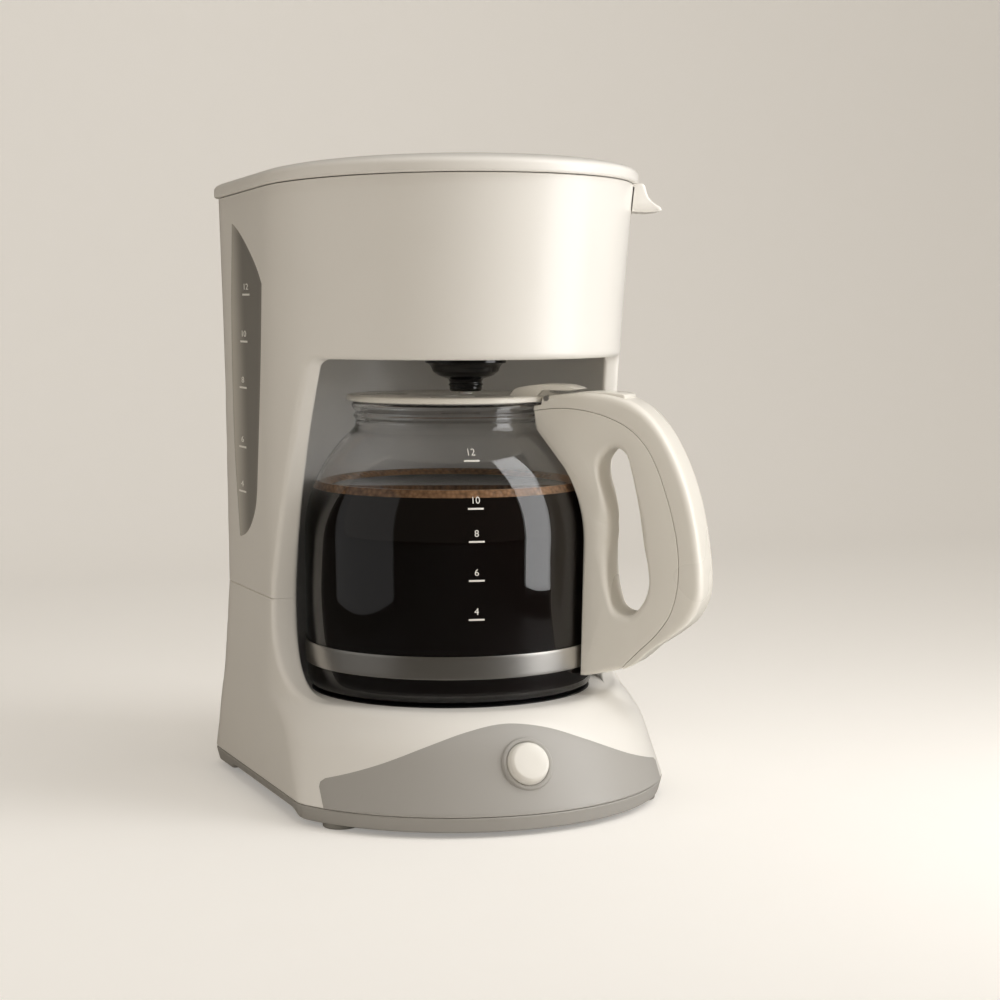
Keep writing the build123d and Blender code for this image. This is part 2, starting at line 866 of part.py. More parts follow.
# Water tank, open at the top, with an outlet spigot under its left rear corner.
with BuildPart() as water_tank:
    with BuildSketch(level(tank_bottom)):
        add(tank_plan())
    extrude(amount=tank_top - tank_bottom)
    with BuildSketch(level(tank_bottom + tank_wall)):
        add(tank_plan(tank_wall))
    extrude(amount=tank_top - tank_bottom, mode=Mode.SUBTRACT)
    with BuildSketch(level(tank_bottom)):
        with Locations((-tube_x, tube_y)):
            Circle(spigot_radius)
    extrude(amount=-spigot_length)
    with BuildSketch(level(tank_bottom - spigot_length)):
        with Locations((-tube_x, tube_y)):
            Circle(water_bore)
    extrude(amount=spigot_length + tank_wall, mode=Mode.SUBTRACT)
save(water_tank, "water_tank")

# Tray under the lid, with openings for the basket, the tank and the riser.
with BuildPart() as top_tray:
    add(block(upper_stations, wall + fit_gap))
    split(bisect_by=level(tray_top), keep=Keep.BOTTOM)
    split(bisect_by=level(tank_top), keep=Keep.TOP)
    with BuildSketch(level(tank_top)):
        with Locations((0, basket_y)):
            Circle(basket_top_radius + slide_gap)
        with Locations((tube_x, tube_y)):
            Circle(tube_radius + slide_gap)
        add(tank_plan(tank_wall))
    extrude(amount=tray_thickness, mode=Mode.SUBTRACT)
save(top_tray, "top_tray")

# Filter basket: a cone with a flange that hangs on the tray.
with BuildPart() as filter_basket:
    with BuildSketch(upright(0, basket_y)):
        with BuildLine():
            Polyline(
                (nozzle_neck + fit_gap, basket_bottom),
                (basket_foot_radius, basket_bottom),
                (basket_top_radius, tray_top),
                (basket_top_radius + basket_flange, tray_top),
                (basket_top_radius + basket_flange, tray_top + basket_flange_thickness),
                (basket_top_radius - basket_wall, tray_top + basket_flange_thickness),
                (basket_foot_radius - basket_wall, basket_bottom + basket_wall),
                (nozzle_neck + fit_gap, basket_bottom + basket_wall),
                close=True,
            )
        make_face()
    revolve(axis=upright_axis(basket_y))
save(filter_basket, "filter_basket")

# Spray arm: a beam from the riser to a sprinkler disc over the middle of the basket.
with BuildPart() as spray_arm:
    arm_run = (tube_x, tube_y - basket_y)
    with BuildSketch(level(arm_bottom)):
        with Locations((tube_x / 2, (tube_y + basket_y) / 2)):
            arm_length = sqrt(arm_run[0] ** 2 + arm_run[1] ** 2)
            Rectangle(arm_length, arm_width, rotation=degrees(atan2(arm_run[1], arm_run[0])))
        with Locations((tube_x, tube_y)):
            Circle(valve_radius + wall)
        with Locations((0, basket_y)):
            Circle(spray_radius)
    extrude(amount=arm_height)
    with BuildSketch(level(tray_top)):
        with Locations((tube_x, tube_y)):
            Circle(valve_radius + wall)
    extrude(amount=arm_bottom - tray_top)
    with BuildSketch(level(tray_top)):
        with Locations((tube_x, tube_y)):
            Circle(tube_radius + pin_gap)
    extrude(amount=riser_top - tray_top, mode=Mode.SUBTRACT)
    with BuildSketch(level(arm_bottom)):
        with Locations((0, basket_y)):
            with PolarLocations(spray_hole_circle, spray_holes):
                Circle(spray_hole_radius)
    extrude(amount=arm_height, mode=Mode.SUBTRACT)
save(spray_arm, "spray_arm")

# Hot riser from the heater's right leg, up the right of the column to the spray arm.
with BuildPart() as riser_tube:
    with BuildLine() as riser_path:
        FilletPolyline(
            spot(heater_leg_x, heater_leg_y + fit_gap, hose_level),
            spot(heater_leg_x, tube_y, hose_level),
            spot(tube_x, tube_y, hose_level),
            spot(tube_x, tube_y, riser_top),
            radius=tube_bend,
        )
    with BuildSketch(Plane(origin=riser_path.line @ 0, z_dir=riser_path.line % 0)):
        Circle(tube_radius)
        Circle(tube_bore, mode=Mode.SUBTRACT)
    sweep()
save(riser_tube, "riser_tube")

# Cold hose from the check valve down to the heater's left leg.
with BuildPart() as inlet_hose:
    with BuildLine() as inlet_path:
        FilletPolyline(
            spot(-heater_leg_x, heater_leg_y + fit_gap, hose_level),
            spot(-heater_leg_x, tube_y, hose_level),
            spot(-tube_x, tube_y, hose_level),
            spot(-tube_x, tube_y, valve_bottom),
            radius=tube_bend,
        )
    with BuildSketch(Plane(origin=inlet_path.line @ 0, z_dir=inlet_path.line % 0)):
        Circle(tube_radius)
        Circle(tube_bore, mode=Mode.SUBTRACT)
    sweep()
save(inlet_hose, "inlet_hose")

# Check valve between the tank's spigot and the cold hose.
with BuildPart() as check_valve:
    with BuildSketch(upright(0)):
        with BuildLine():
            Polyline(
                (water_bore, valve_bottom - valve_nipple),
                (tube_bore - pin_gap, valve_bottom - valve_nipple),
                (tube_bore - pin_gap, valve_bottom),
                (valve_radius, valve_bottom),
                (valve_radius, valve_top),
                (spigot_radius + pin_gap, valve_top),
                (spigot_radius + pin_gap, tank_bottom - spigot_length),
                (water_bore, tank_bottom - spigot_length),
                (water_bore, valve_chamber_top),
                (valve_chamber, valve_chamber_top),
                (valve_chamber, valve_chamber_bottom),
                (water_bore, valve_chamber_bottom),
                close=True,
            )
        make_face()
    revolve(axis=upright_axis())
check_valve.part = check_valve.part.moved(Location((-tube_x, tube_y, 0)))
save(check_valve, "check_valve")

# Ball of the check valve, on its seat.
with BuildPart() as check_ball:
    with Locations(spot(-tube_x, tube_y, ball_z)):
        Sphere(ball_radius)
save(check_ball, "check_ball")

# Heater: a U-shaped tube under the warming plate, with two water stubs.
with BuildPart() as heating_element:
    with BuildLine(level(heater_level)) as heater_path:
        Line((heater_leg_x, heater_leg_y), (heater_leg_x, heater_bend_y))
        ThreePointArc(
            (heater_leg_x, heater_bend_y), (0, heater_bend_y - heater_leg_x), (-heater_leg_x, heater_bend_y)
        )
        Line((-heater_leg_x, heater_bend_y), (-heater_leg_x, heater_leg_y))
    with BuildSketch(Plane(origin=heater_path.line @ 0, z_dir=heater_path.line % 0)):
        Circle(heater_radius)
    sweep()
    for hand in (-1, 1):
        stub_start = spot(hand * heater_leg_x, heater_leg_y, hose_level)
        with BuildSketch(Plane(origin=stub_start, z_dir=(0, 1, 0))):
            Circle(tube_bore - pin_gap)
        extrude(amount=heater_stub)
save(heating_element, "heating_element")

# Warming plate: a coated steel disc with a stud under its middle.
with BuildPart() as warming_plate:
    with BuildSketch(level(plate_bottom)):
        Circle(plate_radius)
    extrude(amount=plate_thickness)
    chamfer(warming_plate.edges().filter_by(GeomType.CIRCLE).sort_by(Axis.Z)[-1], plate_edge)
    with BuildSketch(level(plate_bottom)):
        Circle(stud_radius)
    extrude(amount=-stud_length)
save(warming_plate, "warming_plate")

# Seal ring between the plate and the deck.
with BuildPart() as plate_seal:
    with BuildSketch(level(seal_bottom)):
        Circle(plate_radius)
        Circle(deck_hole, mode=Mode.SUBTRACT)
    extrude(amount=seal_thickness)
save(plate_seal, "plate_seal")

# Clamp strap under the heater, held by a nut on the plate's stud.
with BuildPart() as heater_clamp:
    with BuildSketch(level(heater_bottom)):
        RectangleRounded(2 * (heater_leg_x + clamp_overhang), clamp_width, clamp_width / 4)
        Circle(stud_radius + pin_gap, mode=Mode.SUBTRACT)
    extrude(amount=-clamp_thickness)
save(heater_clamp, "heater_clamp")

with BuildPart() as clamp_nut:
    with BuildSketch(level(heater_bottom - clamp_thickness)):
        RegularPolygon(nut_radius, 6)
        Circle(stud_radius + pin_gap, mode=Mode.SUBTRACT)
    extrude(amount=-nut_height)
save(clamp_nut, "clamp_nut")

# Thermostat disc against the left leg of the heater.
with BuildPart() as thermostat:
    with BuildSketch(level(heater_bottom)):
        with Locations((-heater_leg_x, clamp_width / 2 + thermostat_clear + thermostat_radius)):
            Circle(thermostat_radius)
    extrude(amount=-thermostat_height)
save(thermostat, "thermostat")

# Two thermal fuses against the right leg of the heater.
with BuildPart() as thermal_fuses:
    first_fuse = clamp_width / 2 + fuse_clear + fuse_length / 2
    for fuse_y in (first_fuse, first_fuse + fuse_pitch):
        fuse_middle = spot(heater_leg_x, fuse_y, heater_bottom - fuse_radius)
        with BuildSketch(Plane(origin=fuse_middle, z_dir=(0, 1, 0))):
            Circle(fuse_radius)
        extrude(amount=fuse_length / 2, both=True)
save(thermal_fuses, "thermal_fuses")

# Black drip nozzle under the head, with a valve seat inside.
with BuildPart() as drip_nozzle:
    with BuildSketch(upright(0, basket_y)):
        with BuildLine():
            Polyline((0, nozzle_bottom), (nozzle_radius, nozzle_bottom), (nozzle_radius, nozzle_waist_z))
            ThreePointArc(
                (nozzle_radius, nozzle_waist_z),
                (
                    (nozzle_radius + nozzle_flange) / 2 + nozzle_bowl_bow,
                    (nozzle_waist_z + nozzle_edge_z) / 2 - nozzle_bowl_bow,
                ),
                (nozzle_flange, nozzle_edge_z),
            )
            Polyline(
                (nozzle_flange, nozzle_edge_z),
                (nozzle_flange, head_bottom),
                (nozzle_neck, head_bottom),
                (nozzle_neck, nozzle_top),
                (0, nozzle_top),
                (0, nozzle_bottom),
            )
        make_face()
        for low, high, radius in (
            (nozzle_bottom, nozzle_bottom + guide_length, plunger_radius + pin_gap),
            (nozzle_bottom + guide_length, valve_seat_z - seat_thickness, nozzle_chamber),
            (valve_seat_z - seat_thickness, valve_seat_z, seat_hole),
            (valve_seat_z, nozzle_top, nozzle_chamber),
        ):
            with Locations((0, low)):
                Rectangle(radius, high - low, align=(Align.MIN, Align.MIN), mode=Mode.SUBTRACT)
    revolve(axis=upright_axis(basket_y))
    with BuildSketch(level(nozzle_bottom)):
        with Locations((0, basket_y)):
            with PolarLocations((plunger_radius + nozzle_chamber) / 2, drain_holes):
                Circle(drain_hole)
    extrude(amount=guide_length, mode=Mode.SUBTRACT)
save(drip_nozzle, "drip_nozzle")

# Drip-stop plunger: a pin that stands on the carafe lid, with a stem and a valve disc.
with BuildPart() as drip_stop_plunger:
    for low, high, radius in (
        (plunger_tip, nozzle_bottom + guide_length + plunger_drop + slide_gap, plunger_radius),
        (plunger_tip, drip_seal_bottom + drip_seal_thickness, plunger_stem),
        (drip_seal_bottom + drip_seal_thickness, plunger_disc_top, plunger_disc),
    ):
        with BuildSketch(level(low)):
            with Locations((0, basket_y)):
                Circle(radius)
        extrude(amount=high - low)
save(drip_stop_plunger, "drip_stop_plunger")

# Seal ring under the valve disc.
with BuildPart() as drip_stop_seal:
    with BuildSketch(level(drip_seal_bottom)):
        with Locations((0, basket_y)):
            Circle(plunger_disc)
            Circle(plunger_stem + pin_gap, mode=Mode.SUBTRACT)
    extrude(amount=drip_seal_thickness)
save(drip_stop_seal, "drip_stop_seal")

# Perforated cap that closes the nozzle and holds the spring down.
with BuildPart() as drip_stop_cap:
    with BuildSketch(level(nozzle_top - cap_thickness)):
        with Locations((0, basket_y)):
            Circle(nozzle_chamber - pin_gap)
            with PolarLocations(cap_hole_circle, drain_holes):
                Circle(cap_hole / 2, mode=Mode.SUBTRACT)
    extrude(amount=cap_thickness)
save(drip_stop_cap, "drip_stop_cap")

# Spring between the valve disc and the cap.
drip_spring_seat = Plane(origin=spot(0, basket_y, plunger_disc_top + spring_wire))
drip_spring_length = nozzle_top - cap_thickness - plunger_disc_top - 2 * spring_wire
drip_coil = coil(drip_spring_seat, drip_spring_radius, drip_spring_length, drip_spring_turns)
with BuildPart() as drip_stop_spring:
    add(drip_coil)
save(drip_stop_spring, "drip_stop_spring")

# Cord bush in the rear wall of the base.
with BuildPart() as cord_gland:
    gland_face = Plane(origin=spot(gland_x, base_section.rear + fit_gap, gland_z), z_dir=(0, 1, 0))
    with BuildSketch(gland_face):
        Circle(gland_flange)
    extrude(amount=gland_flange_thickness)
    with BuildSketch(gland_face):
        Circle(gland_radius)
    extrude(amount=-gland_length)
    with BuildSketch(gland_face):
        Circle(gland_bore)
    extrude(amount=2 * gland_length, both=True, mode=Mode.SUBTRACT)
save(cord_gland, "cord_gland")

# Lift tab of the lid, trimmed to stand clear of the housing.
with BuildPart() as tab_shape:
    with BuildSketch(upright(tab_angle)):
        with BuildLine():
            Polyline([(tab_root_reach + out, lid_seam_front + up) for out, up in tab_points], close=True)
        make_face()
    extrude(amount=tab_width / 2, both=True)
    add(block(upper_stations, -tab_gap), mode=Mode.SUBTRACT)

# Lid: a rim that overhangs the wall, a low dome, a lift tab and a hinge knuckle.
lid_section = Section(*(value + lid_overhang for value in top_section))
with BuildPart() as lid:
    extrude(outline(seam_plane.offset(lid_gap), lid_section), amount=lid_rim_height - lid_gap)
    loft(dome(dome_outside), ruled=True)
    loft(dome(dome_inside), ruled=True, mode=Mode.SUBTRACT)
    add(tab_shape.part)
    with BuildSketch(side(-hinge_knuckle_half)):
        with Locations((hinge_y, hinge_z)):
            Circle(hinge_radius)
        with Locations((hinge_y, hinge_z)):
            Rectangle(hinge_y - ear_root_y, lid_web_thickness, align=(Align.MAX, Align.CENTER))
        with Locations((hinge_y, hinge_z)):
            Circle(hinge_pin_radius + pin_gap, mode=Mode.SUBTRACT)
    extrude(amount=2 * hinge_knuckle_half)
    for hand in (-1, 1):
        with BuildSketch(side(hand * hinge_ear_middle)):
            with Locations((ear_root_y - hinge_side_gap, hinge_z)):
                Rectangle(body_reach, body_reach, align=(Align.MIN, Align.CENTER))
        extrude(amount=hinge_ear_width / 2 + hinge_side_gap, both=True, mode=Mode.SUBTRACT)
save(lid, "lid")

# Inner skin of the lid.
with BuildPart() as lid_liner:
    liner_face = outline(seam_plane.offset(liner_bottom), scaled(lid_section, liner_scale))
    extrude(liner_face, amount=liner_thickness)
save(lid_liner, "lid_liner")

# Hinge pins of the lid, one through each ear.
with BuildPart() as hinge_pins:
    for hand in (-1, 1):
        pin_start = hand * (hinge_ear_middle + hinge_ear_width / 2)
        with BuildSketch(side(pin_start)):
            with Locations((hinge_y, hinge_z)):
                Circle(hinge_pin_radius)
        extrude(amount=-hand * (hinge_ear_width + hinge_side_gap + hinge_knuckle_half / 2))
save(hinge_pins, "hinge_pins")

# Carafe glass: a thin-walled jug with a beaded neck and a rolled lip.
with BuildPart() as carafe_glass:
    add(carafe_body(0, carafe_bottom, glass_top))
    with BuildSketch(upright(0)):
        with Locations((neck_radius - glass_wall, glass_top)):
            Rectangle(lip_radius - neck_radius + glass_wall, lip_height, align=(Align.MIN, Align.MAX))
        with Locations((neck_radius, bead_z)):
            Circle(bead_radius)
    revolve(axis=upright_axis())
    add(carafe_body(glass_wall, carafe_bottom + glass_floor, glass_top + glass_wall), mode=Mode.SUBTRACT)
save(carafe_glass, "carafe_glass")

# Steel band round the glass, with the boss that the handle screw bears on.
band_hole = carafe_body(-band_gap, carafe_bottom, glass_top)
with BuildPart() as carafe_band:
    add(carafe_body(-band_gap - band_thickness, carafe_bottom, glass_top))
    split(bisect_by=level(band_top), keep=Keep.BOTTOM)
    split(bisect_by=level(band_bottom), keep=Keep.TOP)
    with BuildSketch(radial(handle_angle, handle_screw_z, 0)):
        Circle(boss_radius)
    extrude(amount=band_boss_reach)
    add(band_hole, mode=Mode.SUBTRACT)
save(carafe_band, "carafe_band")

# Room that the handle and its cover leave for the glass, the band and the carafe lid.
with BuildPart() as handle_room:
    add(carafe_body(-handle_gap, carafe_bottom, glass_top))
    with BuildSketch(level(neck_bottom)):
        Circle(lip_radius + handle_gap)
    extrude(amount=top_level)
    with BuildSketch(handle_plane):
        knuckle_room = lid_knuckle + hinge_block_gap
        with Locations((lid_pin_reach + knuckle_room, lid_pin_z - knuckle_room)):
            Rectangle(body_reach, body_reach, align=(Align.MAX, Align.MIN))
    extrude(amount=lid_knuckle_width / 2 + hinge_block_gap, both=True)
    with BuildSketch(handle_plane):
        with Locations((lid_pin_reach, lid_pin_z)):
            Circle(lid_pin_radius + pin_gap)
    extrude(amount=handle_width, both=True)
    with BuildSketch(radial(handle_angle, handle_screw_z, 0)):
        Circle(boss_radius + fit_gap)
    extrude(amount=band_boss_reach)
    with BuildSketch(radial(handle_angle, handle_screw_z, 0)):
        Circle(screw_shank + pin_gap)
    extrude(amount=screw_head_reach)
    with BuildSketch(radial(handle_angle, handle_screw_z, screw_head_reach)):
        Circle(screw_head + fit_gap)
    extrude(amount=body_reach)

# Handle: the inner loop of the grip, hung from the lid hinge and screwed to the band.
with BuildPart() as carafe_handle:
    with BuildSketch(handle_plane):
        add(handle_profile())
        add(cover_region(), mode=Mode.SUBTRACT)
    extrude(amount=handle_width / 2, both=True)
    add(handle_room.part, mode=Mode.SUBTRACT)
save(carafe_handle, "carafe_handle")

# Cover along the top and back of the handle.
with BuildPart() as handle_cover:
    with BuildSketch(handle_plane):
        add(handle_profile())
        add(cover_region(), mode=Mode.INTERSECT)
    extrude(amount=handle_width / 2, both=True)
    add(handle_room.part, mode=Mode.SUBTRACT)
save(handle_cover, "handle_cover")

# Screw that pulls the foot of the handle to the band.
with BuildPart() as handle_screw:
    with BuildSketch(radial(handle_angle, handle_screw_z, band_boss_reach)):
        Circle(screw_shank)
    extrude(amount=screw_head_reach - band_boss_reach)
    with BuildSketch(radial(handle_angle, handle_screw_z, screw_head_reach)):
        Circle(screw_head)
    extrude(amount=screw_head_height)
save(handle_screw, "handle_screw")

# Pin that the carafe lid turns on.
with BuildPart() as carafe_lid_pin:
    with BuildSketch(handle_plane):
        with Locations((lid_pin_reach, lid_pin_z)):
            Circle(lid_pin_radius)
    extrude(amount=handle_width / 2, both=True)
save(carafe_lid_pin, "carafe_lid_pin")

# Carafe lid: a disc with a skirt, a drip dish under the nozzle and a thumb lever over the hinge.
with BuildPart() as carafe_lid:
    with BuildSketch(level(carafe_lid_bottom)):
        Circle(carafe_lid_radius)
    extrude(amount=carafe_lid_top - carafe_lid_bottom)
    with BuildSketch(level(carafe_lid_bottom)):
        Circle(carafe_lid_skirt)
        Circle(carafe_lid_skirt - carafe_lid_wall, mode=Mode.SUBTRACT)
    extrude(amount=-carafe_lid_skirt_depth)
    with BuildSketch(level(carafe_lid_top)):
        with Locations((0, basket_y)):
            Circle(drip_dish)
            Circle(drip_boss, mode=Mode.SUBTRACT)
    extrude(amount=-drip_dish_depth, mode=Mode.SUBTRACT)
    with BuildSketch(level(carafe_lid_top)):
        with Locations((0, basket_y)):
            with PolarLocations(drip_hole_circle, drip_holes):
                Circle(drip_hole)
    extrude(amount=carafe_lid_bottom - carafe_lid_top, mode=Mode.SUBTRACT)
    with BuildSketch(handle_plane):
        with Locations((lid_pin_reach, lid_pin_z)):
            Circle(lid_knuckle)
        with BuildLine():
            Polyline(
                (lid_pin_reach, lid_pin_z),
                (lid_pin_reach, lever_web_top),
                lever_web_front,
                (lever_web_front[0], carafe_lid_bottom),
                (lid_pin_reach, carafe_lid_bottom),
                close=True,
            )
        make_face()
    extrude(amount=lid_knuckle_width / 2, both=True)
    with BuildSketch(handle_plane):
        with BuildLine():
            Spline(*lever_top, tangents=((0.5, 1), (1, -0.5)))
            Polyline(lever_top[-1], *lever_under, lever_top[0])
        make_face()
    extrude(amount=lever_width / 2, both=True)
    with BuildSketch(handle_plane):
        with Locations((lid_pin_reach, lid_pin_z)):
            Circle(lid_pin_radius + pin_gap)
    extrude(amount=handle_width, both=True, mode=Mode.SUBTRACT)
save(carafe_lid, "carafe_lid")
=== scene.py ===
"""Looks of a drip coffee maker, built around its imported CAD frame. Sizes are in millimetres."""

import bisect
import json
from collections import namedtuple
from functools import lru_cache
from math import atan2, cos, hypot, pi, radians, sin, sqrt

import bmesh
import bpy
from mathutils import Matrix, Vector


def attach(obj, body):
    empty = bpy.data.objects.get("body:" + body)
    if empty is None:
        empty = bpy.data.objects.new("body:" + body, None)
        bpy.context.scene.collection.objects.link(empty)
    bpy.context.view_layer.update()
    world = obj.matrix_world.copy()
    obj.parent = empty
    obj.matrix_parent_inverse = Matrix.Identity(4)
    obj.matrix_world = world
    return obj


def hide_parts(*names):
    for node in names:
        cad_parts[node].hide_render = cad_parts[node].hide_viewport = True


bl_info = {
    "name": "Drip coffee maker",
    "version": (1, 0, 0),
    "blender": (4, 5, 0),
    "location": "3D View > Sidebar > Coffee maker",
    "description": "Shells, glass, prints and finishes of a drip coffee maker around its CAD frame",
    "category": "Object",
}

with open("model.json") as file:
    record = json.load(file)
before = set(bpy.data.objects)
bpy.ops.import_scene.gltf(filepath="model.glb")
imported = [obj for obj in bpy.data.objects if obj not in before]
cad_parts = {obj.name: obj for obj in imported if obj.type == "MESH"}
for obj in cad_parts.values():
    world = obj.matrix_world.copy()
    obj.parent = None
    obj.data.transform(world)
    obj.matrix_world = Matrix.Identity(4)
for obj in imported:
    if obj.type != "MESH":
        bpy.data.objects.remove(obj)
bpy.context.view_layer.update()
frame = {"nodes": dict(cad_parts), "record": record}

MM = 0.001
# Foot of the carafe axis in the row frame. Every shape below is drawn from it.
CARAFE_AXIS = Vector((-5.5, -3.2, 0.0))
ROW_FRAME = Matrix.Scale(MM, 4) @ Matrix.Translation(CARAFE_AXIS)

# Plan sections of the body by height, as in the CAD.
Section = namedtuple("Section", "half front front_radius side_radius rear rear_radius")
BASE_SECTION = Section(96.0, 111.0, 105.0, 18.0, 110.0, 12.0)
TOP_SECTION = Section(94.2, 94.3, 90.0, 112.0, 108.0, 20.0)
STATIONS = (
    (10.0, BASE_SECTION),
    (45.0, Section(92.8, 94.0, 96.0, 60.0, 109.0, 14.0)),
    (54.0, Section(92.0, 84.0, 82.0, 112.0, 108.0, 15.0)),
    (100.0, Section(90.0, 83.0, 81.0, 112.0, 106.0, 17.0)),
    (220.0, Section(91.3, 84.0, 82.0, 112.0, 107.0, 18.0)),
    (309.0, TOP_SECTION),
)
# Heights where the side view's direction changes smoothly, and how far each way.
EASED = ((45.0, 8.0), (220.0, 30.0))
PAN_TOP = 10.0
DECK = 54.0
HOUSING_SEAM = 100.0
CEILING = 220.0
LID_SEAM_REAR = 300.0
LID_SEAM_SLOPE = 6.5 / 202.3
BAY_RADIUS = 78.0
# Side view of the bay's edge: a foot arc, a leaning line and a top arc, as (y, z, radius).
FOOT_ARC = (-31.56, 98.0, 44.0)
TOP_ARC = (-30.09, 213.0, 7.0)
EDGE_LEAN = radians(108.02)
BASKET_Y = -22.0
HANDLE_ANGLE = radians(-43.0)


def linear(hex_colour):
    """Linear colour of an sRGB hex value."""
    parts = [int(hex_colour[i : i + 2], 16) / 255 for i in (0, 2, 4)]
    return tuple(p / 12.92 if p <= 0.04045 else ((p + 0.055) / 1.055) ** 2.4 for p in parts)


def mix(a, b, share):
    """Value part of the way from a to b."""
    return a + (b - a) * share


def steps(first, last, count):
    """Even run of count + 1 values."""
    return [mix(first, last, i / count) for i in range(count + 1)]


@lru_cache(maxsize=None)
def section_points(section, inset=0.0):
    """Right half of a plan section, from the front's middle to the back's."""
    half, front, front_radius, side_radius, rear, corner = (value - inset for value in section)
    front_centre = front_radius - front
    run = sqrt((front_radius - side_radius) ** 2 - (half - side_radius) ** 2)
    side_start = front_centre + (run if side_radius > front_radius else -run)
    share = front_radius / (front_radius - side_radius)
    join_x = share * (half - side_radius)
    join_y = front_centre + share * (side_start - front_centre)
    front_sweep = atan2(join_x, front_centre - join_y)
    side_turn = atan2(join_y - side_start, join_x - half + side_radius)
    points = [(front_radius * sin(a), front_centre - front_radius * cos(a)) for a in steps(0, front_sweep, 60)]
    points += [
        (half - side_radius + side_radius * cos(a), side_start + side_radius * sin(a))
        for a in steps(side_turn, 0, 30)[1:]
    ]
    points += [(half - corner + corner * cos(a), rear - corner + corner * sin(a)) for a in steps(0, pi / 2, 24)]
    return points + [(0.0, rear)]


class PlanCurve:
    """Half of a plan outline that can be walked by its length."""

    def __init__(self, points):
        self.points = points
        self.lengths = [0.0]
        for (x0, y0), (x1, y1) in zip(self.points, self.points[1:]):
            self.lengths.append(self.lengths[-1] + hypot(x1 - x0, y1 - y0))
        self.total = self.lengths[-1]

    def at(self, length):
        """Point at a length along the outline."""
        i = min(max(bisect.bisect_right(self.lengths, length) - 1, 0), len(self.points) - 2)
        span = self.lengths[i + 1] - self.lengths[i]
        share = (length - self.lengths[i]) / span if span else 0.0
        return tuple(mix(a, b, share) for a, b in zip(self.points[i], self.points[i + 1]))

    def length_where(self, axis, value):
        """Length at which the outline first reaches an x (axis 0) or a y (axis 1)."""
        for i, (a, b) in enumerate(zip(self.points, self.points[1:])):
            if a[axis] <= value <= b[axis] and b[axis] > a[axis]:
                share = (value - a[axis]) / (b[axis] - a[axis])
                return mix(self.lengths[i], self.lengths[i + 1], share)
        return self.total

    def inward(self, length):
        """Direction square to the outline, into the body."""
        (x0, y0), (x1, y1) = self.at(max(length - 0.5, 0)), self.at(min(length + 0.5, self.total))
        size = hypot(x1 - x0, y1 - y0)
        return (-(y1 - y0) / size, (x1 - x0) / size)


def ruled(height, inset):
    """Half outline of the body at a height, straight between the two stations around it."""
    for (low, a), (high, b) in zip(STATIONS, STATIONS[1:]):
        if height <= high:
            break
    share = (height - low) / (high - low)
    return [between(p, q, share) for p, q in zip(section_points(a, inset), section_points(b, inset))]


@lru_cache(maxsize=None)
def plan(height, inset=0.0):
    """Half outline of the body at a height, with the creases at two stations eased."""
    for crease, reach in EASED:
        if abs(height - crease) < reach:
            share = (height - crease + reach) / (2 * reach)
            parts = (ruled(z, inset) for z in (crease - reach, crease, crease + reach))
            return PlanCurve([bend(a, b, c, share) for a, b, c in zip(*parts)])
    return PlanCurve(ruled(height, inset))


def skin(length, height, inset=0.0):
    """Point on the body's outer skin."""
    x, y = plan(round(height, 3), inset).at(length)
    return (x, y, height)


def skin_at_y(y, height, inset=0.0):
    """Point on the body's outer skin, given how far back it is."""
    curve = plan(round(height, 3), inset)
    return skin(curve.length_where(1, y), height, inset)


def seam_height(y):
    """Height of the lid seam, which slopes down to the back."""
    return LID_SEAM_REAR + LID_SEAM_SLOPE * (TOP_SECTION.rear - y)


def bay_edge(turn):
    """Side view of the bay's edge on its two arcs, by the edge's direction."""
    y, z, radius = FOOT_ARC if turn <= EDGE_LEAN else TOP_ARC
    return (y + radius * sin(turn), z - radius * cos(turn))


def bend(a, corner, b, share):
    """Point of a rounded corner between a and b."""
    keep = 1 - share
    return tuple(keep**2 * p + 2 * keep * share * q + share**2 * r for p, q, r in zip(a, corner, b))


def between(a, b, share):
    """Point part of the way from a to b."""
    return tuple(mix(p, q, share) for p, q in zip(a, b))


def patch(bm, columns, rows, point):
    """Grid of faces whose corners lie at point(column, row)."""
    made = bmesh.ops.create_grid(bm, x_segments=columns, y_segments=rows, size=0.5)
    for vert in made["verts"]:
        vert.co = point(round((vert.co.x + 0.5) * columns), round((vert.co.y + 0.5) * rows))


def net(bm, lines):
    """Grid of faces through lines of points that all have the same count."""
    patch(bm, len(lines) - 1, len(lines[0]) - 1, lambda column, row: lines[column][row])


def turned(bm, profile, segments, origin=(0.0, 0.0)):
    """Body of revolution from (radius, height) points about an upright axis through origin."""
    verts = [bm.verts.new((origin[0] + r, origin[1], z)) for r, z in profile]
    edges = [bm.edges.new(pair) for pair in zip(verts, verts[1:])]
    bmesh.ops.spin(
        bm, geom=verts + edges, cent=(*origin, 0), axis=(0, 0, 1), angle=2 * pi, steps=segments,
        use_merge=True,
    )


def rounded(points, radius, segments=4):
    """Open run of (radius, height) points with its inner corners rounded."""
    done = [points[0]]
    for before, corner, after in zip(points, points[1:], points[2:]):
        ends = []
        for other in (before, after):
            size = max(hypot(corner[0] - other[0], corner[1] - other[1]), 1e-9)
            ends.append(between(corner, other, min(radius, size * 0.48) / size))
        done += [bend(ends[0], corner, ends[1], i / segments) for i in range(segments + 1)]
    return done + [points[-1]]


finishes = {}


